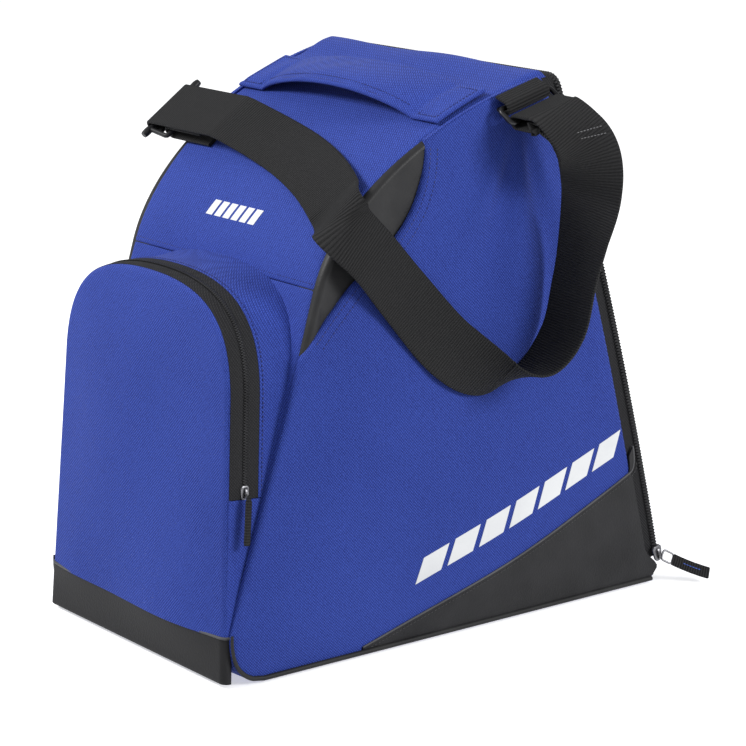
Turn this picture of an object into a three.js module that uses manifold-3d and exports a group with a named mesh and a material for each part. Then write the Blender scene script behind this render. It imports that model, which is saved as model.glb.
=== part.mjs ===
// A ski boot bag that stands on its base. The shell is a slanted box with two flat side panels.
// Units are millimetres. +Z is up, the pocket faces -Y, the zipped rear flap faces +Y, and the
// side that the shoulder strap hangs on ("near") faces +X. The origin is on the underside,
// midway between the sides.
import * as THREE from 'three';
import { mergeVertices } from 'three/addons/utils/BufferGeometryUtils.js';
import Module from 'manifold-3d';

const wasm = await Module();
wasm.setup();

// ---------- driving dimensions ----------
const HEIGHT = 418;             // base to the top of the rear edge
const WIDTH = 253;              // across the side panels at the origin
const TAPER = 0.000415;         // the bag widens towards the rear by this share per millimetre
const TOE_Y = -204;             // front edge of a side panel, just above the toe
const HEEL_Y = 206;             // outside of the rear flap at its foot
const REAR_TOP_Y = 92;          // outside of the rear flap at its top
const REAR_BULGE = 6;           // how far the rear edge bows out from a straight line
const BROW_Y = -126;            // seam between the lower and the upper front panel
const BROW_Z = 280;

const SIDE_WALL = 5;            // foam-backed side panels
const WRAP_WALL = 4;            // front, top and rear panels
const FOAM = 4;
const LINING = 1.2;
const BASE_WALL = 3;
const BOARD = 3;                // stiffener in the base
const GAP = 0.3;                // between pieces that touch

const ZIP_WALL = 2.5;
const REAR_TAPE = 10;           // width of each half of the main zip
const REAR_PANEL = 5;           // thickness of the rear flap
const HINGE_Z = 8.8;            // seam that the rear flap turns on
const MAIN_ZIP_FOOT = 16;

const POCKET_FOOT_Y = -210.5;   // front of the pocket at its foot and at its top
const POCKET_HEAD_Y = -191;
const POCKET_TOP = 286;
const POCKET_SHOULDER = 204;    // height where the pocket's straight sides end
const POCKET_FOOT_HALF = 114;
const POCKET_SHOULDER_HALF = 105;
const POCKET_WALL = 3;
const POCKET_TAPE = 11;
const POCKET_ZIP_Z = 138;       // lower ends of the pocket zip
const BAND_TOP = 37;            // height of the tough band along the foot of the pocket

const LENS_WALL = 2;
const LENS_RECESS = 1.5;
const PATCH_WALL = 1.2;
const PATCH_REAR_Z = 104;       // height of the corner patch at the main zip
const PATCH_FRONT_Y = -90;      // where the patch runs out on the base line
const PIPING_R = 2;

const WEBBING = 46;             // width of the shoulder strap
const WEBBING_WALL = 2.4;
const STRAP_LIFT = 4;           // strap centre above the panels it lies on
const STRAP_DROP = 197;         // from the ring to the lowest part of the strap
const RING_Y = 50;              // middle of the ring's webbing tab, along the top seam
const RING_WIRE = 4;
const RING_LONG = WEBBING + 2 * RING_WIRE;
const RING_DEEP = 24;
const FOLD_CLEAR = 0.8;         // between a wire's corners and the webbing folded round it
const RING_TAB = 42;            // width of the ring's webbing tab
const END_MARGIN = 3;           // the sewn ends of the strap are this much narrower
const STRAP_TAIL = 74;          // flat run of the strap from its adjuster to where it starts to swing
const ADJUSTER_Y = -58;
const HANDLE_Y = 6;
const HANDLE_WIDTH = 50;
const HANDLE_WALL = 3;
const HANDLE_RISE = 17;
const HANDLE_SEAT = 30;         // length of each sewn-down end

const BLUE = 0x2f4aa8;
const BLACK = 0x232324;
const CHARCOAL = 0x45474a;
const HALF = WIDTH / 2;

// ---------- small helpers ----------
const { lerp } = THREE.MathUtils;
const at = (y, z) => new THREE.Vector2(y, z);
const vec = (x, y, z) => new THREE.Vector3(x, y, z);
// A direction made square to an axis.
const squareTo = (axis, way) => way.clone().addScaledVector(axis, -way.dot(axis)).normalize();
const halfWidth = (y) => HALF * (1 + TAPER * y);

// Turns a geometry into a solid that can be joined and cut.
function solid(geometry) {
  const bare = geometry.clone();
  bare.deleteAttribute('normal');
  bare.deleteAttribute('uv');
  const merged = mergeVertices(bare, 1e-4);
  return new wasm.Manifold(new wasm.Mesh({
    numProp: 3,
    vertProperties: new Float32Array(merged.attributes.position.array),
    triVerts: new Uint32Array(merged.index.array),
  }));
}

function geometryOf(body) {
  const mesh = body.getMesh();
  const geometry = new THREE.BufferGeometry();
  geometry.setAttribute('position', new THREE.BufferAttribute(mesh.vertProperties, 3));
  geometry.setIndex(new THREE.BufferAttribute(mesh.triVerts, 1));
  return geometry;
}

// Makes the faces of an indexed geometry point out.
function outward(geometry) {
  const { array } = geometry.index;
  const position = geometry.attributes.position;
  const corner = (i) => vec(position.getX(array[i]), position.getY(array[i]), position.getZ(array[i]));
  let volume = 0;
  for (let i = 0; i < array.length; i += 3) volume += corner(i).dot(corner(i + 1).cross(corner(i + 2)));
  if (volume > 0) return geometry;
  for (let i = 0; i < array.length; i += 3) [array[i], array[i + 1]] = [array[i + 1], array[i]];
  return geometry;
}

// A box whose corner coordinates (u, v, w), each from 0 to 1, are sent through place().
function bend([nu, nv, nw], place) {
  const geometry = new THREE.BoxGeometry(1, 1, 1, nu, nv, nw);
  const position = geometry.attributes.position;
  for (let i = 0; i < position.count; i += 1) {
    const spot = place(position.getX(i) + 0.5, position.getY(i) + 0.5, position.getZ(i) + 0.5);
    position.setXYZ(i, spot.x, spot.y, spot.z);
  }
  return outward(geometry);
}

function block([x0, x1], [y0, y1], [z0, z1]) {
  const geometry = new THREE.BoxGeometry(x1 - x0, y1 - y0, z1 - z0);
  return geometry.translate((x0 + x1) / 2, (y0 + y1) / 2, (z0 + z1) / 2);
}

// Extrudes a (y, z) outline across the bag, from x0 to x1.
function prism(points, [x0, x1]) {
  const geometry = new THREE.ExtrudeGeometry(new THREE.Shape(points), { depth: x1 - x0, bevelEnabled: false });
  return geometry.applyMatrix4(new THREE.Matrix4().set(0, 0, 1, x0, 1, 0, 0, 0, 0, 1, 0, 0, 0, 0, 0, 1));
}

// Narrows the front of the bag and widens its rear, in plan.
function tapered(geometry) {
  const position = geometry.attributes.position;
  for (let i = 0; i < position.count; i += 1) {
    position.setX(i, position.getX(i) * (1 + TAPER * position.getY(i)));
  }
  return geometry;
}

const taperedSolid = (body) => tapered(geometryOf(body));
const EVERYWHERE = [-2000, 2000];
const above = (z) => solid(block(EVERYWHERE, EVERYWHERE, [z, 2000]));
const below = (z) => solid(block(EVERYWHERE, EVERYWHERE, [-2000, z]));

// ---------- the outline of a side panel, in (y, z), anticlockwise ----------
const TOE_FOOT = at(TOE_Y + 26, 0);
const TOE_HEAD = at(TOE_Y, 38);
const BROW = at(BROW_Y, BROW_Z);
const frontSlope = BROW.clone().sub(TOE_HEAD).normalize();
const CREST_END = at(REAR_TOP_Y - 6, HEIGHT);
const REAR_HEAD = at(REAR_TOP_Y, HEIGHT - 6);
const REAR_FOOT = at(HEEL_Y, 10);

const base = new THREE.LineCurve(TOE_FOOT, at(HEEL_Y - 10, 0));
const heel = new THREE.QuadraticBezierCurve(at(HEEL_Y - 10, 0), at(HEEL_Y, 0), REAR_FOOT);
const rearMiddle = REAR_FOOT.clone().add(REAR_HEAD).multiplyScalar(0.5);
const rearSide = REAR_HEAD.clone().sub(REAR_FOOT).normalize();
const rearBow = at(rearMiddle.x + rearSide.y * 2 * REAR_BULGE, rearMiddle.y - rearSide.x * 2 * REAR_BULGE);
const rear = new THREE.QuadraticBezierCurve(REAR_FOOT, rearBow, REAR_HEAD);
const rearCorner = new THREE.QuadraticBezierCurve(REAR_HEAD, at(REAR_TOP_Y, HEIGHT), CREST_END);
const crest = new THREE.CubicBezierCurve(
  CREST_END, at(CREST_END.x - 104, CREST_END.y - 17), BROW.clone().addScaledVector(frontSlope, 68), BROW);
const front = new THREE.LineCurve(BROW, TOE_HEAD);
const toe = new THREE.QuadraticBezierCurve(TOE_HEAD, at(TOE_Y - 2, 4), TOE_FOOT);

function chain(...curves) {
  const path = new THREE.CurvePath();
  curves.forEach((curve) => path.add(curve));
  return path;
}

// A point at a depth inside a curve, u from 0 to 1 along it.
function inside(curve, u, depth) {
  const point = curve.getPointAt(u);
  const tangent = curve.getTangentAt(u);
  return at(point.x - tangent.y * depth, point.y + tangent.x * depth);
}

const OUTLINE_STEPS = [[base, 1], [heel, 3], [rear, 14], [rearCorner, 3], [crest, 18], [front, 1], [toe, 6]];

// The outline moved inwards. Where a corner is tighter than the move, its crossed-over points are left out.
function outline(inset = 0) {
  const rim = OUTLINE_STEPS.flatMap(([curve, steps]) => curve.getSpacedPoints(steps * 8));
  const points = OUTLINE_STEPS.flatMap(([curve, steps]) =>
    Array.from({ length: steps }, (_, i) => inside(curve, (i + 0.001) / steps, inset)));
  return points.filter((p) => rim.every((r) => r.distanceTo(p) > inset - 0.05));
}

// A strip that follows a curve: span along it, depth inside it and reach across the bag.
function wrap(curve, [s0, s1], [d0, d1], [x0, x1], steps) {
  const length = curve.getLength();
  return bend([steps, 1, 1], (u, v, w) => {
    const spot = inside(curve, THREE.MathUtils.clamp(lerp(s0, s1, u) / length, 0, 1), lerp(d0, d1, v));
    return vec(lerp(x0, x1, w), spot.x, spot.y);
  });
}

// The part of the bag between two depths from the rear edge, above a height.
function rearSlab(depth, reach, foot) {
  const footLine = new THREE.LineCurve(REAR_FOOT.clone().addScaledVector(rear.getTangent(0), -30), REAR_FOOT);
  const headLine = new THREE.LineCurve(REAR_HEAD, REAR_HEAD.clone().addScaledVector(rear.getTangent(1), 30));
  const line = chain(footLine, rear, headLine);
  return solid(wrap(line, [0, line.getLength()], depth, reach, 24)).intersect(above(foot));
}

const whole = (reach, inset = 0) => solid(prism(outline(inset), reach));
const BOTH = [-HALF, HALF];
const TAPE_START = REAR_PANEL + GAP;
const TAPE_END = TAPE_START + REAR_TAPE;
const PANEL_START = TAPE_END + GAP;

// Crest height at a y, and the crest's slope there.
function onCrest(y) {
  let [low, high] = [0, 1];
  for (let i = 0; i < 40; i += 1) {
    const middle = (low + high) / 2;
    if (crest.getPointAt(middle).x > y) low = middle; else high = middle;
  }
  const point = crest.getPointAt(low);
  const along = crest.getTangentAt(low).negate();
  return { z: point.y, along: vec(0, along.x, along.y), normal: vec(0, -along.y, along.x) };
}

// ---------- building the parts ----------
const bag = new THREE.Group();

function add(name, geometry, color, roughness, metalness = 0) {
  const bare = geometry.index ? geometry : mergeVertices(geometry);
  const mesh = new THREE.Mesh(bare, new THREE.MeshStandardMaterial({ color, roughness, metalness }));
  mesh.name = name;
  bag.add(mesh);
}

const mirrored = ([x0, x1], side) => (side > 0 ? [x0, x1] : [-x1, -x0]);
const SIDES = [['near', 1], ['far', -1]];

// The lens-shaped insert behind the brow, on each side panel.
function lens(reach, extra) {
  const edge = [[94, 92], [84, 53], [27, 1], [-17, -46]].map(([y, z]) => at(BROW_Y + y, BROW_Z + z));
  const rearEdge = new THREE.SplineCurve(edge).getPoints(12);
  const away = frontSlope.clone().multiplyScalar(60);
  const forward = [at(rearEdge[12].x - 80, rearEdge[12].y - 2), at(rearEdge[12].x - 80 + away.x, HEIGHT + 60),
    at(rearEdge[0].x, HEIGHT + 60)];
  const moved = rearEdge.map((p) => at(p.x + extra, p.y - extra));
  return solid(prism([...moved, ...forward], reach)).intersect(whole(reach));
}

function sidePanels() {
  SIDES.forEach(([name, side]) => {
    const reach = mirrored([HALF - SIDE_WALL, HALF], side);
    const panel = whole(reach)
      .subtract(lens(BOTH, GAP))
      .subtract(rearSlab([-20, PANEL_START], BOTH, MAIN_ZIP_FOOT - GAP))
      .subtract(rearSlab([-20, TAPE_START], BOTH, HINGE_Z - GAP));
    add(`side_panel_${name}`, taperedSolid(panel), BLUE, 0.85);
    const depth = mirrored([HALF - LENS_RECESS - LENS_WALL, HALF - LENS_RECESS], side);
    add(`vent_insert_${name}`, taperedSolid(lens(depth, 0)), BLACK, 0.55);
  });
}

function sideLayers() {
  const inset = WRAP_WALL + LINING + 3 * GAP;
  const layers = [['side_foam', HALF - SIDE_WALL - GAP, FOAM, 0x9a9a9a],
    ['side_lining', HALF - SIDE_WALL - FOAM - 2 * GAP, LINING, 0x2b2d33]];
  layers.forEach(([kind, outer, wall, color]) => {
    SIDES.forEach(([name, side]) => {
      const reach = mirrored([outer - wall, outer], side);
      const sheet = whole(reach, inset).subtract(rearSlab([-20, PANEL_START + GAP], BOTH, 0));
      const board = BASE_WALL + BOARD + 2 * GAP;
      add(`${kind}_${name}`, taperedSolid(sheet.intersect(above(board))), color, 0.9);
    });
  });
}

const INNER = HALF - SIDE_WALL - GAP;
const LINED = HALF - SIDE_WALL - FOAM - LINING - 3 * GAP;

function wrapPanels() {
  const across = [-INNER, INNER];
  const lower = chain(front, toe);
  add('lower_front_panel', tapered(wrap(lower, [GAP, lower.getLength() - GAP], [0, WRAP_WALL], across, 30)),
    BLUE, 0.85);
  const upper = solid(wrap(crest, [0, crest.getLength()], [0, WRAP_WALL], across, 20));
  add('top_panel', taperedSolid(upper.subtract(rearSlab([-20, PANEL_START], BOTH, 0))), BLUE, 0.85);
  const lined = chain(crest, front);
  const sheet = solid(wrap(lined, [0, lined.getLength() - 14], [WRAP_WALL + GAP, WRAP_WALL + GAP + LINING],
    [-LINED, LINED], 30));
  add('wrap_lining', taperedSolid(sheet.subtract(rearSlab([-20, PANEL_START + GAP], BOTH, 0))), 0x2b2d33, 0.9);
}

function basePanels() {
  const floor = solid(block([-INNER, INNER], [TOE_FOOT.x + GAP, HEEL_Y], [0, BASE_WALL]));
  const lip = solid(block([-INNER, INNER], [HEEL_Y - REAR_PANEL, HEEL_Y], [0, HINGE_Z - GAP]));
  add('base_panel', taperedSolid(floor.add(lip).intersect(whole(BOTH))), CHARCOAL, 0.6);
  const board = block([-LINED, LINED], [TOE_FOOT.x + 8, HEEL_Y - 14], [BASE_WALL + GAP, BASE_WALL + GAP + BOARD]);
  add('base_board', tapered(board), 0x1d1d1f, 0.6);
  SIDES.forEach(([name, side]) => {
    const from = vec(side * (halfWidth(TOE_FOOT.x) + GAP + PIPING_R), TOE_FOOT.x, PIPING_R + 1);
    const to = vec(side * (halfWidth(HEEL_Y - 12) + GAP + PIPING_R), HEEL_Y - 12, PIPING_R + 1);
    const shape = new THREE.Shape().absarc(0, 0, PIPING_R, 0, 2 * Math.PI);
    const path = new THREE.LineCurve3(from, to);
    add(`base_piping_${name}`, new THREE.ExtrudeGeometry(shape, { steps: 1, curveSegments: 5, extrudePath: path }),
      BLACK, 0.7);
  });
}

// The tarpaulin triangle over the lower rear corner of each side panel.
function cornerPatches() {
  const foot = 2 * PIPING_R + 1.5;
  const upper = new THREE.QuadraticBezierCurve(at(PATCH_FRONT_Y, foot + 1), at(60, 50), at(HEEL_Y - 20, PATCH_REAR_Z));
  const points = [...upper.getPoints(8), at(HEEL_Y + 40, PATCH_REAR_Z), at(HEEL_Y + 40, foot), at(PATCH_FRONT_Y, foot)];
  SIDES.forEach(([name, side]) => {
    const reach = mirrored([HALF + GAP, HALF + GAP + PATCH_WALL], side);
    const patch = solid(prism(points, reach)).intersect(whole(reach))
      .subtract(rearSlab([-20, PANEL_START], [-2 * HALF, 2 * HALF], 0));
    add(`corner_patch_${name}`, taperedSolid(patch), CHARCOAL, 0.5);
  });
}

// The rear flap and the zip that runs up one side, over the top and down the other.
function rearFlap() {
  const foot = HINGE_Z + GAP / 2;
  const slab = rearSlab([-1, REAR_PANEL], BOTH, foot).intersect(whole(BOTH));
  const middle = HALF - REAR_TAPE;
  const opening = rearSlab([-9, 9], [-middle, middle], -50).intersect(below(HEIGHT - REAR_TAPE));
  const shrunk = rearSlab([-9, 9], [-middle + GAP, middle - GAP], -50).intersect(below(HEIGHT - REAR_TAPE - GAP));
  add('rear_panel', taperedSolid(slab.intersect(shrunk)), BLUE, 0.85);
  add('main_zip_tape_flap', taperedSolid(slab.subtract(opening)), BLACK, 0.8);
  const depth = [REAR_PANEL + GAP, REAR_PANEL + GAP + LINING];
  const lining = rearSlab(depth, [-LINED + 2, LINED - 2], foot + 6).intersect(below(HEIGHT - 16));
  add('rear_lining', taperedSolid(lining), 0x2b2d33, 0.9);
  const shell = whole(BOTH).subtract(whole([-HALF + ZIP_WALL, HALF - ZIP_WALL], ZIP_WALL));
  const tape = shell.intersect(rearSlab([TAPE_START, TAPE_END], BOTH, MAIN_ZIP_FOOT));
  add('main_zip_tape_body', taperedSolid(tape), BLACK, 0.8);
}

// ---------- main zip slider and pull ----------
const zipStart = inside(rear, 0.035, 4);
const zipEnd = inside(rear, 0.84, 4);
const SLIDER = [5, 10, 13];     // thick, wide, long
const sliderX = halfWidth(zipStart.x) + 1.5;
const zipLean = Math.atan2(zipStart.x - zipEnd.x, zipEnd.y - zipStart.y);

function mainSlider() {
  const [thick, wide, long] = SLIDER;
  const body = solid(block([0, thick], [-wide / 2, wide / 2], [-long / 2, long / 2]));
  const slot = solid(block([thick - 2.2, thick - 0.8], [-1.6, 1.6], [-20, 20]));
  const yaw = Math.atan(HALF * TAPER);
  const place = (geometry) => geometry.rotateX(zipLean).rotateZ(-yaw).translate(sliderX, zipStart.x, zipStart.y);
  add('main_zip_slider', place(geometryOf(body.subtract(slot))), 0x8b8d90, 0.4, 0.8);
}

// The pull hangs outwards from the slider to the ground: a wire link, then a webbing tab.
const PULL_ROOT = vec(sliderX + SLIDER[0] + 4, zipStart.x + 2, zipStart.y - 1);
const PULL_WAY = vec(0.5, 0.72, -0.46).normalize();
const PULL_LINK = 11;
const PULL_TAB = 34;

function ribbon(curve, acrossAt, width, wall, steps) {
  return bend([steps, 1, 1], (u, v, w) => {
    const forward = curve.getTangentAt(u);
    const across = acrossAt(u).clone();
    across.addScaledVector(forward, -across.dot(forward)).normalize();
    const normal = forward.clone().cross(across);
    return curve.getPointAt(u).clone().addScaledVector(across, (w - 0.5) * width)
      .addScaledVector(normal, (v - 0.5) * wall);
  });
}

function mainPull() {
  const level = PULL_WAY.clone().cross(vec(0, 0, 1)).normalize();
  const linkEnd = PULL_ROOT.clone().addScaledVector(PULL_WAY, PULL_LINK);
  const linkBody = solid(ribbon(new THREE.LineCurve3(PULL_ROOT, linkEnd), () => level, 8, 1.6, 1));
  const inner = [2, PULL_LINK - 2].map((s) => PULL_ROOT.clone().addScaledVector(PULL_WAY, s));
  const hole = solid(ribbon(new THREE.LineCurve3(...inner), () => level, 5, 4, 1));
  add('main_pull_link', geometryOf(linkBody.subtract(hole)), 0x8b8d90, 0.4, 0.8);
  const tabStart = linkEnd.clone().addScaledVector(PULL_WAY, GAP);
  const tabEnd = tabStart.clone().addScaledVector(PULL_WAY, PULL_TAB);
  add('main_pull_tab', ribbon(new THREE.LineCurve3(tabStart, tabEnd), () => level, 11, 2.4, 1), BLACK, 0.8);
}

// ---------- front pocket, built upright with its face at depth 0, then leaned back ----------
const POCKET_LEAN = Math.atan2(POCKET_HEAD_Y - POCKET_FOOT_Y, POCKET_TOP);

function pocketOutline(inset) {
  const half = POCKET_FOOT_HALF - inset;
  const shoulder = POCKET_SHOULDER_HALF - inset;
  const top = POCKET_TOP - inset;
  const arch = (side) => new THREE.QuadraticBezierCurve(
    at(side * shoulder, POCKET_SHOULDER), at(side * (shoulder - 2), top - 4), at(0, top));
  return [at(-half, 4), at(half, 4), ...arch(1).getPoints(10), ...arch(-1).getPoints(10).reverse().slice(1)];
}

// A slice of the pocket's outline between two depths behind its face.
function pocketSlice([d0, d1], inset, [low, high]) {
  const extruded = new THREE.ExtrudeGeometry(new THREE.Shape(pocketOutline(inset)),
    { depth: d1 - d0, bevelEnabled: false });
  extruded.applyMatrix4(new THREE.Matrix4().set(1, 0, 0, 0, 0, 0, -1, d1, 0, 1, 0, 0, 0, 0, 0, 1));
  return solid(extruded).intersect(above(low)).intersect(below(high));
}

function inPocketFrame(geometry) {
  return geometry.rotateX(-POCKET_LEAN).translate(0, POCKET_FOOT_Y, 0);
}

// The pocket is cut back where it would reach into the front of the shell.
function pocketPiece(name, body, color, roughness) {
  const shellFront = solid(prism(outline(), [-3 * HALF, 3 * HALF]).translate(0, -GAP, 0));
  const leaned = solid(inPocketFrame(geometryOf(body)));
  add(name, geometryOf(leaned.subtract(shellFront)), color, roughness);
}

function pocketRing(depth, heights) {
  return pocketSlice(depth, 0, heights).subtract(pocketSlice([depth[0] - 1, depth[1] + 1], POCKET_WALL, [-9, 999]));
}

function pocket() {
  const upper = [POCKET_ZIP_Z + GAP / 2, 999];
  const tapeEnd = POCKET_WALL + GAP + POCKET_TAPE;
  pocketPiece('pocket_flap', pocketSlice([0, POCKET_WALL], 0, upper), BLUE, 0.85);
  pocketPiece('pocket_zip_tape_flap', pocketRing([POCKET_WALL + GAP, tapeEnd], upper), BLACK, 0.8);
  pocketPiece('pocket_zip_tape_body', pocketRing([tapeEnd + GAP, tapeEnd + GAP + POCKET_TAPE], upper), BLACK, 0.8);
  pocketPiece('pocket_gusset_arch', pocketRing([tapeEnd + 2 * GAP + POCKET_TAPE, 150], upper), BLUE, 0.85);
  pocketPiece('pocket_lower_face', pocketSlice([0, POCKET_WALL], 0, [BAND_TOP + GAP, POCKET_ZIP_Z - GAP / 2]),
    BLUE, 0.85);
  pocketPiece('front_base_band', pocketSlice([0, POCKET_WALL], 0, [0, BAND_TOP]), CHARCOAL, 0.5);
  const lower = pocketRing([POCKET_WALL + GAP, 150], [BAND_TOP, POCKET_ZIP_Z - GAP / 2]);
  SIDES.forEach(([name, side]) => {
    const half = solid(block(side > 0 ? [0, 999] : [-999, 0], EVERYWHERE, EVERYWHERE));
    pocketPiece(`pocket_gusset_${name}`, lower.intersect(half), BLUE, 0.85);
  });
}

// Half-width of the pocket at a height, on its straight sides.
const pocketHalf = (z) => lerp(POCKET_FOOT_HALF, POCKET_SHOULDER_HALF, (z - 4) / (POCKET_SHOULDER - 4));

function pocketSlider() {
  const z = POCKET_ZIP_Z + 5;
  const depth = POCKET_WALL + GAP + POCKET_TAPE;
  const lean = Math.atan2(POCKET_FOOT_HALF - POCKET_SHOULDER_HALF, POCKET_SHOULDER - 4);
  const body = block([0, 4], [-4.5, 4.5], [-5, 5]).rotateY(-lean).translate(pocketHalf(z) + 1.2, depth, z);
  add('pocket_zip_slider', inPocketFrame(body), 0x2a2a2c, 0.4, 0.5);
  const shape = new THREE.Shape().absarc(0, 0, 1.3, 0, 2 * Math.PI);
  const top = vec(pocketHalf(z) + 8, depth, z);
  const route = new THREE.LineCurve3(top, top.clone().add(vec(3, -2, -36)));
  const cord = new THREE.ExtrudeGeometry(shape, { steps: 1, curveSegments: 4, extrudePath: route });
  add('pocket_pull', inPocketFrame(cord), BLACK, 0.7);
}

// ---------- carry handle across the top ----------
function handle() {
  const seat = onCrest(HANDLE_Y);
  const reach = halfWidth(HANDLE_Y) - SIDE_WALL - 2;
  const height = (x) => {
    const arch = Math.max(0, 1 - (x / (reach - HANDLE_SEAT)) ** 2);
    return GAP + 2 + HANDLE_RISE * arch ** 0.8;
  };
  const stretch = (x0, x1, steps) => bend([steps, 1, 4], (u, v, w) => {
    const x = lerp(x0, x1, u);
    const y = HANDLE_Y + (w - 0.5) * HANDLE_WIDTH * seat.along.y;
    const ground = onCrest(y);
    return vec(x, y, ground.z).addScaledVector(ground.normal, height(x) + v * HANDLE_WALL);
  });
  const inner = reach - HANDLE_SEAT;
  add('carry_handle', stretch(-inner + GAP, inner - GAP, 16), BLUE, 0.85);
  add('handle_end_near', stretch(inner, reach, 1), BLUE, 0.85);
  add('handle_end_far', stretch(-reach, -inner, 1), BLUE, 0.85);
}

// ---------- shoulder strap, its ring and its adjuster ----------
const ringSeat = onCrest(RING_Y);
const RING_AXIS = ringSeat.along;
const RING_OUT = squareTo(RING_AXIS, vec(0.8, 0, -0.6));
const ringTop = vec(halfWidth(RING_Y) + 8.5, RING_Y, ringSeat.z - 8);
const ringLow = ringTop.clone().addScaledVector(RING_OUT, RING_DEEP - RING_WIRE);

function rectangleLoop(long, deep, wire) {
  const rim = (a, b) => [at(-a, -b), at(a, -b), at(a, b), at(-a, b)];
  const shape = new THREE.Shape(rim(long / 2, deep / 2));
  shape.holes.push(new THREE.Path(rim(long / 2 - wire, deep / 2 - wire).reverse()));
  return new THREE.ExtrudeGeometry(shape, { depth: wire, bevelEnabled: false }).translate(0, 0, -wire / 2);
}

// Webbing folded round a bar: two layers of given lengths run away from it.
const FOLD_RADIUS = RING_WIRE * Math.SQRT1_2 + FOLD_CLEAR + WEBBING_WALL / 2;

function foldPoints(bar, axis, away, [lowTail, highTail]) {
  const low = axis.clone().cross(away).normalize();
  const turn = Array.from({ length: 9 }, (_, i) => {
    const angle = (i / 8) * Math.PI;
    return bar.clone().addScaledVector(low, FOLD_RADIUS * Math.cos(angle))
      .addScaledVector(away, -FOLD_RADIUS * Math.sin(angle));
  });
  return [turn[0].clone().addScaledVector(away, lowTail), ...turn, turn[8].clone().addScaledVector(away, highTail)];
}

// A flat strip through points that lie in one plane, square to its width.
function foldStrip(points, axis, width) {
  const normals = points.map((point, i) => {
    const before = points[Math.max(0, i - 1)];
    const after = points[Math.min(points.length - 1, i + 1)];
    return after.clone().sub(before).cross(axis).normalize();
  });
  const steps = points.length - 1;
  return bend([steps, 1, 1], (u, v, w) => {
    const i = Math.round(u * steps);
    return points[i].clone().addScaledVector(normals[i], (v - 0.5) * WEBBING_WALL)
      .addScaledVector(axis, (w - 0.5) * width);
  });
}

const STRAP_AWAY = squareTo(RING_AXIS, vec(0.98, 0.1, 0));
const strapRearFold = foldPoints(ringLow, RING_AXIS, STRAP_AWAY, [10, 14]);

function ringAndTab() {
  const turned = new THREE.Matrix4().makeBasis(RING_AXIS, RING_OUT, RING_AXIS.clone().cross(RING_OUT).normalize());
  const centre = ringTop.clone().lerp(ringLow, 0.5);
  const loop = rectangleLoop(RING_LONG, RING_DEEP, RING_WIRE).applyMatrix4(turned);
  add('rear_ring', loop.translate(centre.x, centre.y, centre.z), 0x2c2c2e, 0.35, 0.6);
  const tab = foldPoints(ringTop, RING_AXIS, squareTo(RING_AXIS, vec(-0.93, 0, 0.37)), [7, 4]);
  add('rear_tab', foldStrip(tab, RING_AXIS, RING_TAB), BLACK, 0.8);
  add('strap_rear_end', foldStrip(strapRearFold, RING_AXIS, WEBBING - END_MARGIN), BLACK, 0.8);
}

const adjusterSeat = onCrest(ADJUSTER_Y);
const ADJUSTER_AXIS = adjusterSeat.along;
const ADJUSTER_OUT = squareTo(ADJUSTER_AXIS, vec(-0.97, 0, 0.25));
const adjusterInner = vec(-halfWidth(ADJUSTER_Y) - 4, ADJUSTER_Y, adjusterSeat.z)
  .addScaledVector(adjusterSeat.normal, 8);
const adjusterOuter = adjusterInner.clone().addScaledVector(ADJUSTER_OUT, RING_DEEP - RING_WIRE);
const strapFrontFold = foldPoints(adjusterOuter, ADJUSTER_AXIS, vec(1, 0, 0), [8, STRAP_TAIL]);

function adjusterAndTab() {
  const up = ADJUSTER_AXIS.clone().cross(ADJUSTER_OUT).normalize();
  const centre = adjusterInner.clone().lerp(adjusterOuter, 0.5);
  const turned = new THREE.Matrix4().makeBasis(ADJUSTER_AXIS, ADJUSTER_OUT, up);
  const loop = rectangleLoop(RING_LONG, RING_DEEP, RING_WIRE).applyMatrix4(turned);
  add('front_adjuster', loop.translate(centre.x, centre.y, centre.z), 0x2c2c2e, 0.4, 0.1);
  const tab = foldPoints(adjusterInner, ADJUSTER_AXIS, vec(1, 0, 0), [48, 44]);
  add('front_tab', foldStrip(tab, ADJUSTER_AXIS, WEBBING - END_MARGIN), BLACK, 0.8);
  add('strap_front_end', foldStrip(strapFrontFold, ADJUSTER_AXIS, WEBBING - END_MARGIN), BLACK, 0.8);
}

// The strap's way over the brow, down the near side and up to the ring. On the near side each row
// is: distance out from the side in strap widths, y from the ring, share of the drop, direction of
// the width.
const YOKE = [0.16, 0.32, 0.5, 0.7, 0.87, 1];
const HANGING = [
  [0.217, -138, 0.46, [-0.1, 0.77, 0.63]], [0.152, -106, 0.65, [0, 0.77, 0.63]],
  [0.239, -70, 0.86, [0.25, 0.72, 0.66]], [0.5, -32, 0.985, [0.75, 0.3, 0.5]], [0.587, -2, 0.96, [1, 0, 0.1]],
  [0.652, 19, 0.84, [1, 0, 0]], [0.739, 28, 0.65, [1, 0, 0]], [0.87, 31, 0.46, [1, 0.15, 0]],
  [1.065, 27, 0.28, [0.85, 0.5, 0]], [1.196, 18, 0.14, [0.45, 0.88, 0.1]], [1.13, 9, 0.05, [0.1, 0.95, 0.3]],
];

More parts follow.
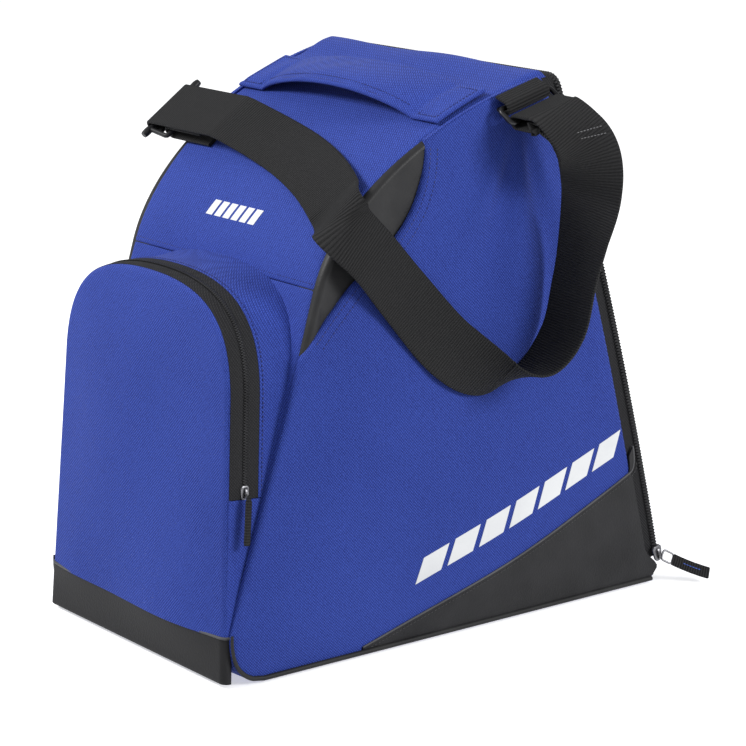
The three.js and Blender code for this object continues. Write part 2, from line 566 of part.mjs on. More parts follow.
function strapRoute() {
  const start = strapFrontFold.at(-1).clone().add(vec(2 * GAP, 0, 0));
  const end = strapRearFold.at(-1).clone().addScaledVector(STRAP_AWAY, 2 * GAP);
  const points = [start, start.clone().add(vec(6, 0, 0))];
  const across = [ADJUSTER_AXIS, ADJUSTER_AXIS];
  const startLift = FOLD_RADIUS + 10;
  YOKE.forEach((f) => {
    const y = ADJUSTER_Y - 44 * f ** 2;
    const seat = onCrest(y);
    const lift = STRAP_LIFT + startLift * Math.max(0, 1 - f / 0.5) ** 2 + 5 * f ** 6;
    points.push(vec(lerp(start.x, halfWidth(y) + 2, f), y, seat.z).addScaledVector(seat.normal, lift));
    across.push(seat.along);
  });
  HANGING.forEach(([out, y, drop, width]) => {
    points.push(vec(halfWidth(RING_Y + y) + out * WEBBING, RING_Y + y, ringLow.z - drop * STRAP_DROP));
    across.push(vec(...width));
  });
  points.push(end.clone().addScaledVector(STRAP_AWAY, 5), end);
  across.push(RING_AXIS, RING_AXIS);
  return { curve: new THREE.CatmullRomCurve3(points, false, 'centripetal'), across: new THREE.CatmullRomCurve3(across) };
}

function shoulderStrap() {
  const { curve, across } = strapRoute();
  const acrossAt = (u) => across.getPoint(curve.getUtoTmapping(u));
  add('shoulder_strap', ribbon(curve, acrossAt, WEBBING, WEBBING_WALL, 64), BLACK, 0.8);
}

sidePanels();
sideLayers();
wrapPanels();
basePanels();
cornerPatches();
rearFlap();
mainSlider();
mainPull();
pocket();
pocketSlider();
handle();
ringAndTab();
adjusterAndTab();
shoulderStrap();

export default bag;
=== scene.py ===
"""A ski boot bag that stands on its base: a slanted shell with two flat sides, a zipped pocket in
front, a zipped flap behind, a carry handle across the top and a webbing shoulder strap.

Shapes are worked out in millimetres, with +Z up, the pocket towards -Y, and the side that the
strap hangs on, the near side, towards +X. place_mesh() turns them into metres.
"""

import math

import bpy
import numpy as np
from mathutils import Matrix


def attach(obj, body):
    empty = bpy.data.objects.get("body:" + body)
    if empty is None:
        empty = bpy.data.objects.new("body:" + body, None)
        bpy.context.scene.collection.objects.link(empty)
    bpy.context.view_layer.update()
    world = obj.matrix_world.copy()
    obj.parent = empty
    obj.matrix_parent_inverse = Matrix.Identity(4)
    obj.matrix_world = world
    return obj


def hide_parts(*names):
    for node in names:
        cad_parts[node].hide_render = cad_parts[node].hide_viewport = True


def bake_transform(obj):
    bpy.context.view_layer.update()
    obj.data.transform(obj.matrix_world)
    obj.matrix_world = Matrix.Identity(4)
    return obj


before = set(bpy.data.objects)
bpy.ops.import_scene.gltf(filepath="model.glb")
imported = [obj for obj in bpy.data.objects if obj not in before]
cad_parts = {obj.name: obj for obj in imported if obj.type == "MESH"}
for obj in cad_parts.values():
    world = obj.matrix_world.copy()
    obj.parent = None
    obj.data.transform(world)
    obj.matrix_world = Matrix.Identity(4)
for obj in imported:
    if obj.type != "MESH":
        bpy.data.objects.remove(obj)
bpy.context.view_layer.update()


# ---------- Camera, floor and lights ----------
# A long lens looks down a little on the pocket and the near side. The floor is a plain white
# sweep. One soft box stands high in front, one behind on the near side, and the room is dim.
camera = bpy.data.objects.new("camera", bpy.data.cameras.new("camera"))
camera.data.lens, camera.data.sensor_width = 126.6, 36
camera.location = (1.5425, -1.2337, 0.6908)
camera.rotation_euler = np.radians((90 - 14.6, 0, 50.9))
bpy.context.scene.collection.objects.link(camera)
bpy.context.scene.camera = camera


def soft_box(name, place, aim, size, power):
    """A square lamp of the given size, turned from its place towards a point."""
    lamp = bpy.data.lights.new(name, "AREA")
    lamp.shape, lamp.size, lamp.energy = "SQUARE", size, power
    box = bpy.data.objects.new(name, lamp)
    way = np.subtract(aim, place)
    box.location = place
    box.rotation_euler = (math.atan2(math.hypot(way[0], way[1]), -way[2]), 0, math.atan2(-way[0], way[1]))
    bpy.context.scene.collection.objects.link(box)


soft_box("front_light", (-1.0, -1.9, 1.9), (0, 0, 0.2), 0.8, 64)
soft_box("side_light", (2.3, 0.9, 1.4), (0, 0, 0.2), 0.9, 50)
bpy.context.scene.view_settings.view_transform = "Standard"

world = bpy.data.worlds.new("studio")
bpy.context.scene.world = world
world.use_nodes = True
world.node_tree.nodes["Background"].inputs["Color"].default_value = (0.97, 0.98, 1.0, 1)
world.node_tree.nodes["Background"].inputs["Strength"].default_value = 0.55


def plain_finish(name, color, roughness, metallic=0.0):
    """A material with one colour, returned with its node tree and its shader, to build on."""
    material = bpy.data.materials.new(name)
    material.use_nodes = True
    shader = material.node_tree.nodes["Principled BSDF"]
    shader.inputs["Base Color"].default_value = (*color, 1)
    shader.inputs["Roughness"].default_value = roughness
    shader.inputs["Metallic"].default_value = metallic
    return material, material.node_tree, shader


def floor_finish():
    """A pale matt sweep, a little cloudy, that glows so that it shows as white."""
    material, tree, shader = plain_finish("pale_floor", (0.9, 0.9, 0.9), 0.9)
    noise = tree.nodes.new("ShaderNodeTexNoise")
    noise.inputs["Scale"].default_value = 3
    ramp = tree.nodes.new("ShaderNodeValToRGB")
    ramp.color_ramp.elements[0].color = (0.88, 0.88, 0.885, 1)
    ramp.color_ramp.elements[1].color = (0.92, 0.92, 0.92, 1)
    coordinates = tree.nodes.new("ShaderNodeTexCoord")
    tree.links.new(coordinates.outputs["Object"], noise.inputs["Vector"])
    tree.links.new(noise.outputs["Fac"], ramp.inputs["Fac"])
    tree.links.new(ramp.outputs["Color"], shader.inputs["Base Color"])
    shader.inputs["Emission Color"].default_value = (1, 1, 1, 1)
    shader.inputs["Emission Strength"].default_value = 0.5
    return material


floor_mesh = bpy.data.meshes.new("floor")
floor_turn = np.linspace(0, 2 * np.pi, 64, endpoint=False)
floor_rim = np.c_[9 * np.cos(floor_turn), 9 * np.sin(floor_turn), np.full(64, -0.0004)]
floor_mesh.from_pydata(floor_rim, [], [list(range(64))])
floor = bpy.data.objects.new("floor", floor_mesh)
floor_mesh.materials.append(floor_finish())
bpy.context.scene.collection.objects.link(floor)
floor.visible_diffuse = False  # so that its glow doesn't light the bag from below


# ---------- Side panels ----------
# Two flat panels of blue 600-denier polyester over foam, cut to the bag's slanted outline. Each
# is seamed to the wrap all round and top-stitched along the edge that crosses the vent insert.
HALF_WIDTH = 126.5
TAPER = 0.000415  # the bag widens towards the rear by this share per millimetre
REAR_DEPTH = 15.6  # the zip takes this much of each side at the rear


def bezier(*poles, steps=48):
    """The poles weighted by the Bernstein polynomials, at even steps."""
    t = np.linspace(0, 1, steps)[:, None]
    n = len(poles) - 1
    weights = [math.comb(n, k) * t**k * (1 - t) ** (n - k) for k in range(n + 1)]
    return sum(weight * np.array(pole, float) for weight, pole in zip(weights, poles))


def travel(line):
    """The distance of each point from the start of a line of points."""
    return np.r_[0, np.cumsum(np.linalg.norm(np.diff(line, axis=0), axis=-1))]


def along(line, distance):
    """The points at given distances along a line of points."""
    reached = travel(line)
    return np.stack([np.interp(distance, reached, line[:, k]) for k in range(line.shape[1])], -1)


def left_of(line, distance):
    """The unit vector square to a flat line, on the left of its travel."""
    ahead = along(line, np.asarray(distance) + 0.8) - along(line, np.asarray(distance) - 0.8)
    return np.stack([-ahead[..., 1], ahead[..., 0]], -1) / np.linalg.norm(ahead, axis=-1)[..., None]


def spaced(length, step, edge=(0, 0.5, 1.3, 2.4, 4, 6)):
    """Distances from 0 to a length, close together at both ends, where cloth rolls over."""
    edge = np.array(edge)
    count = max(2, round((length - 2 * edge[-1]) / step) + 1)
    return np.r_[edge[:-1], np.linspace(edge[-1], length - edge[-1], count), length - edge[-2::-1]]


def smooth_step(value, low, high):
    """0 below low, 1 above high, and 3t2 - 2t3 between."""
    t = np.clip((value - low) / (high - low), 0, 1)
    return t * t * (3 - 2 * t)


def rolled(distance, radius):
    """How far cloth has turned down at a distance inside its edge: a quarter circle."""
    short = np.clip(radius - distance, 0, radius)
    return radius - np.sqrt(radius**2 - short**2)


def depth_inside(points, line):
    """A smooth depth inside a closed line: the fourth powers of one over the distance are summed
    along it, so that no ridge shows halfway between two edges."""
    line = along(line, np.arange(0, travel(line)[-1], 2.0))
    flat = points.reshape(-1, points.shape[-1])
    square = (flat**2).sum(1)[:, None] + (line**2).sum(1) - 2 * flat @ line.T
    total = (2.0 / np.maximum(square, 2.0) ** 2).sum(1)
    return (1.16 * total ** (-1 / 3)).reshape(points.shape[:-1])


def nearest(points, line):
    """The distance from each point of a grid to the nearest point of a line."""
    flat = points.reshape(-1, points.shape[-1])
    square = (flat**2).sum(1)[:, None] + (line**2).sum(1) - 2 * flat @ line.T
    return np.sqrt(np.maximum(square.min(1), 0)).reshape(points.shape[:-1])


def unit(vectors):
    """Vectors made one long."""
    return vectors / np.linalg.norm(vectors, axis=-1, keepdims=True)


# The outline of a side in (y, z), anticlockwise from the foot of the rear edge. The rear line runs
# on past the top by REAR_SPARE, for the zip, which turns its corner there.
REAR_SPARE = 20
REAR = bezier((206, 10), (160.5, 214.3), (92, 412), steps=160)
REAR_LENGTH = travel(REAR)[-1]
REAR = np.vstack([REAR, REAR[-1] + REAR_SPARE * unit(REAR[-1] - REAR[-2])])
CREST = bezier((86, 418), (-18, 401), (-105.1, 344.7), (-126, 280), steps=160)
FRONT = bezier((-126, 280), (-204, 38), steps=60)
TOE = bezier((-204, 38), (-206, 4), (-178, 0), steps=24)
BASE_LINE = bezier((-178, 0), (196, 0), steps=120)
HEEL = bezier((196, 0), (206, 0), (206, 10), steps=8)
REAR_CORNER = bezier((92, 412), (92, 418), (86, 418), steps=8)
OUTLINE = np.vstack([REAR[:-1], REAR_CORNER, CREST, FRONT, TOE, BASE_LINE, HEEL])
# The side panel's top-stitched edge, from the front edge up to the crest.
LENS_TIP_Y, LENS_TIP_Z, LENS_FOOT_Z = -32, 379, 233
LENS_EDGE = np.vstack([
    bezier((-141.2, LENS_FOOT_Z), (-118, 262), (-99, 281), steps=12)[:-1],
    bezier((-99, 281), (-53, 313), (-33, 334), (LENS_TIP_Y, LENS_TIP_Z), steps=36),
])


def taper(y):
    """The share by which the width has grown at a y."""
    return 1 + TAPER * y


def side_swell(y, z):
    """How far cloth stands out from the flat side: the hyperbolic tangent of the depth inside the
    outline, times 6.8 mm with two broad waves and the soft folds that fan down from the ring."""
    inside = np.tanh(depth_inside(np.stack([y, z], -1), OUTLINE) / 42)
    out_y, down = y - 48, 398 - z
    angle = np.arctan2(out_y, np.maximum(down, 1))
    far = np.hypot(out_y, down)
    fan = np.cos(angle * 13 - 0.6) * smooth_step(far, 15, 60) * (1 - smooth_step(far, 110, 250))
    folds = 3.0 * fan * (1 - smooth_step(np.abs(angle + 0.1), 0.35, 0.75))
    waves = 1.4 * np.sin(y / 41 + z / 67) + 1.1 * np.sin(y / 29 - z / 53 + 1.1)
    return inside * (6.8 + waves + folds)


def near_side(y, z, lift=0.0):
    """Points on the outside of the near side, with the cloth's swell, raised by lift."""
    return np.stack([HALF_WIDTH * taper(y) + side_swell(y, z) + lift, y, z], -1)


def rear_offset(distance, depth):
    """Points at a depth inside the rear edge, in (y, z)."""
    return along(REAR, distance) + np.asarray(depth)[..., None] * left_of(REAR, distance)


def four_sided(bottom, top, left, right, step, edge=(0, 0.5, 1.3, 2.4, 4, 6)):
    """A grid that fills four lines of points (a Coons patch): the two ruled surfaces added, less
    the one through the corners. bottom and top run one way, left and right the other."""
    u = spaced(travel(bottom)[-1], step, edge) / travel(bottom)[-1]
    v = spaced(travel(right)[-1], step, edge) / travel(right)[-1]
    low, high = along(bottom, u * travel(bottom)[-1]), along(top, u * travel(top)[-1])
    start, end = along(left, v * travel(left)[-1]), along(right, v * travel(right)[-1])
    a, b = u[:, None, None], v[None, :, None]
    corners = (1 - a) * (1 - b) * low[0] + a * (1 - b) * low[-1] + (1 - a) * b * high[0] + a * b * high[-1]
    return (1 - b) * low[:, None] + b * high[:, None] + (1 - a) * start[None] + a * end[None] - corners


def cells(rows, columns, closed=False):
    """The quads between the neighbours of a grid; closed joins its last column to its first."""
    index = np.arange(rows * columns).reshape(rows, columns)
    if closed:
        index = np.hstack([index, index[:, :1]])
    return np.stack([index[:-1, :-1], index[1:, :-1], index[1:, 1:], index[:-1, 1:]], -1).reshape(-1, 4)


def place_mesh(name, points, quads, material, caps=(), lengthwise=None):
    """Makes an object from points in millimetres, quads and end caps, facing outwards: the
    volume that the faces enclose is summed, and all of them are turned if it is negative.
    lengthwise holds a pair of distances for each point, for finishes that follow the piece."""
    points = np.asarray(points, float).reshape(-1, 3) / 1000
    fans = [np.stack([np.full(len(cap) - 2, cap[0]), cap[1:-1], cap[2:]], -1) for cap in caps]
    corners = points[np.vstack([quads[:, [0, 1, 2]], quads[:, [0, 2, 3]], *fans])]
    if np.einsum("ij,ij->", corners[:, 0], np.cross(corners[:, 1], corners[:, 2])) < 0:
        quads, caps = quads[:, ::-1], [cap[::-1] for cap in caps]
    shape = bpy.data.meshes.new(name)
    shape.from_pydata(points, [], quads.tolist() + [list(map(int, cap)) for cap in caps], shade_flat=False)
    shape.set_sharp_from_angle(angle=math.radians(52))
    if lengthwise is not None:
        corner = np.empty(len(shape.loops), np.int32)
        shape.loops.foreach_get("vertex_index", corner)
        layer = shape.uv_layers.new(name="lengthwise")
        distances = np.asarray(lengthwise, float).reshape(-1, 2) / 1000
        layer.uv.foreach_set("vector", distances[corner].ravel())
    shape.materials.append(material)
    thing = bpy.data.objects.new(name, shape)
    bpy.context.scene.collection.objects.link(thing)
    return thing


def slab(name, outer, inner, material):
    """Two grids of points joined round their rims into one closed wall."""
    rows, columns = outer.shape[:2]
    count = rows * columns
    index = np.arange(count).reshape(rows, columns)
    rim = np.r_[index[0, :-1], index[:-1, -1], index[-1, :0:-1], index[:0:-1, 0]]
    ahead = np.roll(rim, -1)
    face = cells(rows, columns)
    walls = np.stack([rim, ahead, ahead + count, rim + count], -1)
    return place_mesh(name, np.concatenate([outer.reshape(-1, 3), inner.reshape(-1, 3)]),
                      np.vstack([face, face[:, ::-1] + count, walls]), material)


def mirrored(points, side):
    """The same points on the side that side gives: 1 is near and -1 is far."""
    return points * np.array([side, 1, 1])


def nodes_for(tree, *kinds):
    """New nodes of the given kinds in a material's tree."""
    return [tree.nodes.new("ShaderNode" + kind) for kind in kinds]


def cloth_finish(name, dark, light, roughness, thread, relief, sheen=0.0, wear=0.25):
    """Woven cloth on Object coordinates. Two sets of diagonal waves, thread millimetres apart,
    multiply into the dots of a twill; fine noise breaks them up and broad noise clouds them."""
    material, tree, shader = plain_finish(name, dark, roughness)
    shader.inputs["Sheen Weight"].default_value = sheen
    shader.inputs["Sheen Roughness"].default_value = 0.4
    shader.inputs["Specular IOR Level"].default_value = 0.2
    place, turn, one, other, fine, broad = nodes_for(
        tree, "TexCoord", "Mapping", "TexWave", "TexWave", "TexNoise", "TexNoise")
    times, speck, cloud, ramp, bump = nodes_for(tree, "Math", "Math", "Math", "ValToRGB", "Bump")
    for wave in (one, other):
        wave.bands_direction = "DIAGONAL"
        wave.inputs["Scale"].default_value = 1000 / thread * 2 * math.pi / 20 / math.sqrt(1.5)
        wave.inputs["Distortion"].default_value = 1.2
        wave.inputs["Detail"].default_value = 1
        wave.inputs["Detail Scale"].default_value = 2
    turn.inputs["Scale"].default_value = (-1, -1, 1)
    fine.inputs["Scale"].default_value = 620
    fine.inputs["Detail"].default_value = 3
    broad.inputs["Scale"].default_value = 11
    broad.inputs["Detail"].default_value = 4
    times.operation, speck.operation, cloud.operation = "MULTIPLY", "MULTIPLY_ADD", "MULTIPLY_ADD"
    speck.inputs[1].default_value = 0.55
    cloud.inputs[1].default_value = wear
    link = tree.links.new
    link(place.outputs["Object"], turn.inputs["Vector"])
    for node in (one, fine, broad):
        link(place.outputs["Object"], node.inputs["Vector"])
    link(turn.outputs["Vector"], other.inputs["Vector"])
    link(one.outputs["Fac"], times.inputs[0])
    link(other.outputs["Fac"], times.inputs[1])
    link(fine.outputs["Fac"], speck.inputs[0])
    link(times.outputs[0], speck.inputs[2])
    link(broad.outputs["Fac"], cloud.inputs[0])
    link(speck.outputs[0], cloud.inputs[2])
    ramp.color_ramp.elements[0].position, ramp.color_ramp.elements[1].position = 0.25, 1.05
    ramp.color_ramp.elements[0].color = (*dark, 1)
    ramp.color_ramp.elements[1].color = (*light, 1)
    link(cloud.outputs[0], ramp.inputs["Fac"])
    link(ramp.outputs["Color"], shader.inputs["Base Color"])
    bump.inputs["Strength"].default_value = 0.6
    bump.inputs["Distance"].default_value = relief / 1000
    link(speck.outputs[0], bump.inputs["Height"])
    link(bump.outputs["Normal"], shader.inputs["Normal"])
    return material


blue_weave = cloth_finish(
    "blue_weave", (0.010, 0.020, 0.15), (0.045, 0.088, 0.44), 0.8, thread=1.0, relief=0.35, sheen=0.05)
SIDES = (("near", 1), ("far", -1))
SIDE_WALL = 5

CREST_START = 12.2  # the side's cloth meets the crest this far from its rear end


def crest_at(y):
    """The distance along the crest at which it reaches a y."""
    return np.interp(-np.asarray(y), -CREST[:, 0], travel(CREST))


up = np.linspace(1, REAR_LENGTH, 90)
rear_edge = rear_offset(up, 4.5 + (REAR_DEPTH - 4.5) * smooth_step(up, 2, 24))
side_right = np.vstack([(196, 0), rear_edge, along(CREST, [CREST_START])])
side_left = np.vstack([TOE[12::-1], FRONT[::-1][1:][FRONT[::-1][1:, 1] < 231], LENS_EDGE])
side_bottom = np.vstack([TOE[12:], BASE_LINE[1:]])
side_top = along(CREST, np.linspace(crest_at(LENS_TIP_Y), CREST_START, 60))
side_rim = np.vstack([side_bottom, side_right, side_top[::-1], side_left[::-1]])
side_grid = four_sided(side_bottom, side_top, side_left, side_right, 2.7)
side_edge = nearest(side_grid, along(side_rim, np.arange(0, travel(side_rim)[-1], 1.0)))
SEAM_ROLL = 3.2
side_outer = near_side(side_grid[..., 0], side_grid[..., 1], -rolled(side_edge, SEAM_ROLL))
side_inner = near_side(side_grid[..., 0], side_grid[..., 1], -SIDE_WALL)

for name, side in SIDES:
    panel = slab(
        f"side_panel_cloth_{name}", mirrored(side_outer, side), mirrored(side_inner, side), blue_weave)
    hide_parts(f"side_panel_{name}")
    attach(panel, "root")


# Thread is laid in short stitches, each a small capsule, sunk a little into the cloth.
def thread_finish(name, color):
    """Twisted thread: fine noise stretched over its colour, and a soft gloss."""
    material, tree, shader = plain_finish(name, color, 0.55)
    place, noise, ramp = nodes_for(tree, "TexCoord", "TexNoise", "ValToRGB")
    noise.inputs["Scale"].default_value = 900
    ramp.color_ramp.elements[0].color = (*[c * 0.6 for c in color], 1)
    ramp.color_ramp.elements[1].color = (*[min(1, c * 1.5) for c in color], 1)
    tree.links.new(place.outputs["Object"], noise.inputs["Vector"])
    tree.links.new(noise.outputs["Fac"], ramp.inputs["Fac"])
    tree.links.new(ramp.outputs["Color"], shader.inputs["Base Color"])
    return material


blue_thread = thread_finish("blue_thread", (0.010, 0.016, 0.12))
black_thread = thread_finish("black_thread", (0.03, 0.03, 0.032))


def stitch_row(name, lines, material, body, pitch=3.3, length=2.3, wire=0.36):
    """Capsules along lines of points: a ring of six points is carried along each stitch, with
    radius wire times the square root of sin, so that both ends close to a blunt tip."""
    starts, ways = [], []
    for line in lines:
        reach = travel(line)[-1]
        middle = np.arange(pitch / 2, reach, pitch)
        starts.append(along(line, middle))
        ways.append(unit(along(line, middle + 0.6) - along(line, middle - 0.6)))
    spot, way = np.vstack(starts), np.vstack(ways)
    other = unit(np.cross(way, (0.31, 0.52, 0.79)))
    third = np.cross(way, other)
    t = np.linspace(0.04, 0.96, 5)[None, :, None, None]
    turn = np.linspace(0, 2 * np.pi, 6, endpoint=False)[None, None, :, None]
    wide = wire * np.sqrt(np.sin(np.pi * t))
    spread = np.cos(turn) * other[:, None, None] + np.sin(turn) * third[:, None, None]
    points = spot[:, None, None] + (t - 0.5) * length * way[:, None, None] + wide * spread
    one = cells(5, 6, closed=True)
    ends = np.array([[0, 1, 2, 3], [3, 4, 5, 0], [27, 26, 25, 24], [24, 29, 28, 27]])
    one = np.vstack([one, ends[:, ::-1]])
    quads = (np.arange(len(spot))[:, None, None] * 30 + one).reshape(-1, 4)
    row = place_mesh(name, points, quads, material)
    if body:
        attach(row, body)
    return row


for name, side in SIDES:
    rows = []
    for inset in (3.0, 9.0):
        s = np.arange(14, travel(LENS_EDGE)[-1] - 6, 1.5)
        flat = along(LENS_EDGE, s) - inset * left_of(LENS_EDGE, s)
        lift = 0.1 - rolled(inset, SEAM_ROLL)
        rows.append(mirrored(near_side(flat[:, 0], flat[:, 1], lift), side))
    stitch_row(f"lens_edge_stitches_{name}", rows, blue_thread, "root")


# ---------- Vent inserts ----------
# A lens-shaped insert of thin black coated cloth lies behind the top-stitched edge of each side
# panel. It sinks in a little, then turns the front corner and is seamed under the front panels.
def coated_finish(name, dark, light, roughness, grain, relief):
    """Coated cloth: cell noise gives the grain and its relief, broad noise clouds the gloss."""
    material, tree, shader = plain_finish(name, dark, roughness)
    shader.inputs["Specular IOR Level"].default_value = 0.2
    place, cell, broad, ramp, rough, bump = nodes_for(
        tree, "TexCoord", "TexVoronoi", "TexNoise", "ValToRGB", "MapRange", "Bump")
    cell.inputs["Scale"].default_value = 1000 / grain
    broad.inputs["Scale"].default_value = 26
    broad.inputs["Detail"].default_value = 5
    ramp.color_ramp.elements[0].color = (*dark, 1)
    ramp.color_ramp.elements[1].color = (*light, 1)
    ramp.color_ramp.elements[0].position, ramp.color_ramp.elements[1].position = 0.3, 0.75
    rough.inputs["To Min"].default_value = roughness - 0.08
    rough.inputs["To Max"].default_value = roughness + 0.1
    bump.inputs["Strength"].default_value = 0.5
    bump.inputs["Distance"].default_value = relief / 1000
    link = tree.links.new
    link(place.outputs["Object"], cell.inputs["Vector"])
    link(place.outputs["Object"], broad.inputs["Vector"])
    link(broad.outputs["Fac"], ramp.inputs["Fac"])
    link(broad.outputs["Fac"], rough.inputs["Value"])
    link(ramp.outputs["Color"], shader.inputs["Base Color"])
    link(rough.outputs["Result"], shader.inputs["Roughness"])
    link(cell.outputs["Distance"], bump.inputs["Height"])
    link(bump.outputs["Normal"], shader.inputs["Normal"])
    return material


black_coated = coated_finish("black_coated", (0.012, 0.012, 0.013), (0.035, 0.035, 0.036), 0.42, 0.9, 0.15)
lens_outer_edge = np.vstack([
    FRONT[FRONT[:, 1] > LENS_FOOT_Z][::-1],
    along(CREST, np.linspace(travel(CREST)[-1], crest_at(LENS_TIP_Y), 60)),
])
CORNER = 5  # the radius with which the insert turns on to the front
UNDER = 4.2  # how far it rises towards the outline there, below the front panels
u = np.r_[0, 0.03, 0.08, np.linspace(0.16, 0.9, 16), 0.96, 1]
v = np.linspace(0, 1, 110)
lens_back = along(LENS_EDGE, v * travel(LENS_EDGE)[-1]) - 4 * left_of(LENS_EDGE, v * travel(LENS_EDGE)[-1])
lens_out = left_of(lens_outer_edge, v * travel(lens_outer_edge)[-1])
lens_front = along(lens_outer_edge, v * travel(lens_outer_edge)[-1]) - CORNER * lens_out
lens_grid = lens_back[None] + u[:, None, None] * (lens_front - lens_back)[None]
wide = np.linalg.norm(lens_front - lens_back, axis=-1)[None]
sink = 1.6 + 1.6 * np.minimum(wide / 40, 1) * np.sin(np.pi * u[:, None]) ** 0.8
crease = 0.5 * np.sin(lens_grid[..., 1] / 9 + lens_grid[..., 0] / 5) * np.sin(np.pi * u[:, None])
turn = np.linspace(0, np.pi / 2, 7)[1:]
in_by = np.r_[CORNER * (1 - np.cos(turn)), CORNER + np.linspace(1.5, 19, 8)][:, None]
out_by = np.r_[UNDER * np.sin(turn), np.full(8, UNDER)]
for name, side in SIDES:
    outer, inner = (np.vstack([
        np.dstack([HALF_WIDTH * taper(lens_grid[..., 0]) - sink + crease - wall, lens_grid]),
        np.dstack([HALF_WIDTH * taper(lens_front[None, :, 0]) - 1.6 - wall - in_by,
                   lens_front[None] + (out_by - wall)[:, None, None] * lens_out[None]]),
    ]) for wall in (0, 1.2))
    vent = slab(f"vent_cloth_{name}", mirrored(outer, side), mirrored(inner, side), black_coated)
    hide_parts(f"vent_insert_{name}")
    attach(vent, "root")


# ---------- Front and top panels ----------
# One blue panel runs from the toe up to the brow seam, and a second from the brow over the top to
# the zip. Both crown outwards over foam, and turn down into the side seams.
WRAP_REACH = 122.6  # half-width up to the side seams
VENT_BITE = 3.0  # the vent inserts show this far on to the front
VENT_RUN = 186.0  # their length along the outline
VENT_BELOW_BROW = 49.0  # the part of that length that lies below the brow seam
SIDE_ROLL = 5.4  # the radius of the turn down into a side seam
BURIED = 5.6  # the panels' back lies this far inside the outline


def wrapped(line, distance, x, rise):
    """Points across the bag on a line of its outline: x is the place across before the taper, and
    rise is how far the cloth stands out of the outline."""
    spot = along(line, distance)
    out = spot[:, None] - rise[..., None] * left_of(line, distance)[:, None]
    return np.dstack([x[None] * taper(spot[:, :1]), out])


def wrap_rise(x, s, start, end):
    """How far the cloth stands out: 2.4 mm times an arch over x and an arch over s, and waves."""
    arch = (1 - np.clip(x / WRAP_REACH, -1, 1) ** 4) * np.sin(np.pi * (s - start) / (end - start)) ** 0.5
    return arch * (2.4 + 0.5 * np.sin(x / 23) * np.sin(s / 31 + 0.7))


def wrap_panel(name, line, start, end, by_vent, hood=0.0):
    """A crowned panel: its rise is lowered by quarter circles along its side seams and its ends.
    It is narrower by half a sine wave beside the vent insert, which starts at by_vent, and hood
    raises its first few millimetres over the zip."""
    s = start + spaced(end - start, 3.0)
    x = spaced(2 * WRAP_REACH, 3.0) - WRAP_REACH
    beside = np.sin(np.pi * np.clip((s - by_vent) / VENT_RUN, 0, 1))[:, None]
    ends = rolled(s - start, 5.0 if hood else 1.1) + rolled(end - s, 1.1)
    lower = rolled(WRAP_REACH - np.abs(x), SIDE_ROLL)[None] + ends[:, None]
    over = hood * (1 + 0.3 * np.sin(x / 21 + 0.5)) * (1 - smooth_step(s, start + 10, start + 40))[:, None]
    rise = wrap_rise(x[None], s[:, None], start, end) + over - np.minimum(lower, SIDE_ROLL)
    narrow = np.dstack([1 - VENT_BITE / WRAP_REACH * beside, np.ones(beside.shape), np.ones(beside.shape)])
    over_zip = s - start < (8 if hood else 0)
    under = np.minimum(rise - 0.8, np.where(over_zip, 0.6, -BURIED)[:, None])
    outer, inner = wrapped(line, s, x, rise), wrapped(line, s, x, under)
    return slab(name, outer * narrow, inner * narrow, blue_weave)


lower_line = np.vstack([FRONT, TOE[1:]])
lower_front = wrap_panel(
    "lower_front_cloth", lower_line, 0.2, travel(lower_line)[-1] - 0.5, VENT_BELOW_BROW - VENT_RUN)
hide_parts("lower_front_panel")
TOP_START, TOP_END = 5.4, travel(CREST)[-1] - 0.1
top_cloth = wrap_panel("top_cloth", CREST, TOP_START, TOP_END, crest_at(LENS_TIP_Y), hood=3.2)
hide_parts("top_panel")
for panel in (lower_front, top_cloth):
    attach(panel, "root")

x = np.linspace(-116, 116, 90)
brow_row = wrapped(CREST, travel(CREST)[-1:] - 4.0, x, 0.35 - 0.2 * np.abs(x[None] / 116) ** 4)[0]
stitch_row("brow_stitches", [brow_row], blue_thread, "root")


# ---------- Front pocket ----------
# A domed, arched pocket of the same blue cloth, leaned back against the shell. A gusset joins it
# to the shell, and a coil zip runs over its arch between two black tapes.
POCKET_LEAN = math.atan2(19.5, 286)
POCKET_FOOT_Y = -210.5
POCKET_SEAM_Z = 138  # below this the pocket is sewn, above it the zip opens
BAND_TOP = 37


def pocket_place(x, depth, z):
    """Points in the pocket's own upright frame, leaned back and moved to its foot."""
    c, s = math.cos(POCKET_LEAN), math.sin(POCKET_LEAN)
    x, depth, z = np.broadcast_arrays(x, depth, z)
    return np.stack([x, depth * c + z * s + POCKET_FOOT_Y, z * c - depth * s], -1)


def shell_depth(z):
    """How deep behind the pocket's face the front of the shell lies, at a height."""
    return -5.64 + 0.24866 * z


half_arch = bezier((105, 204), (104, 262), (76, 286), (0, 286), steps=60)
ARCH = np.vstack([(107.97, 138), half_arch, (half_arch * (-1, 1))[::-1][1:], (-107.97, 138)])
ARCH_LENGTH = travel(ARCH)[-1]
face_foot = bezier((-112.5, BAND_TOP), (112.5, BAND_TOP), steps=20)
face_left = np.array([(-112.5, BAND_TOP), (-107.97, 138), (-105, 204)], float)
face_right = face_left * (-1, 1)
face_top = (half_arch * (-1, 1))[:-1].tolist() + half_arch[::-1].tolist()
face_grid = four_sided(face_foot, np.array(face_top), face_left, face_right, 2.9)
face_rim = np.vstack([face_left[:1], face_left, face_top, face_right[::-1]])
face_rim = along(face_rim, np.arange(0, travel(face_rim)[-1], 1.0))


def pocket_dome(x, z):
    """How far the pocket's cloth stands out: the hyperbolic tangent of the depth inside its rim,
    times 8 mm with two slack waves."""
    inside = np.tanh(depth_inside(np.stack(np.broadcast_arrays(x, z), -1), face_rim) / 48)
    waves = 1.3 * np.sin(x / 33 + z / 71) + 1.1 * np.sin(x / 26 - z / 47)
    return inside * (8.0 + waves)


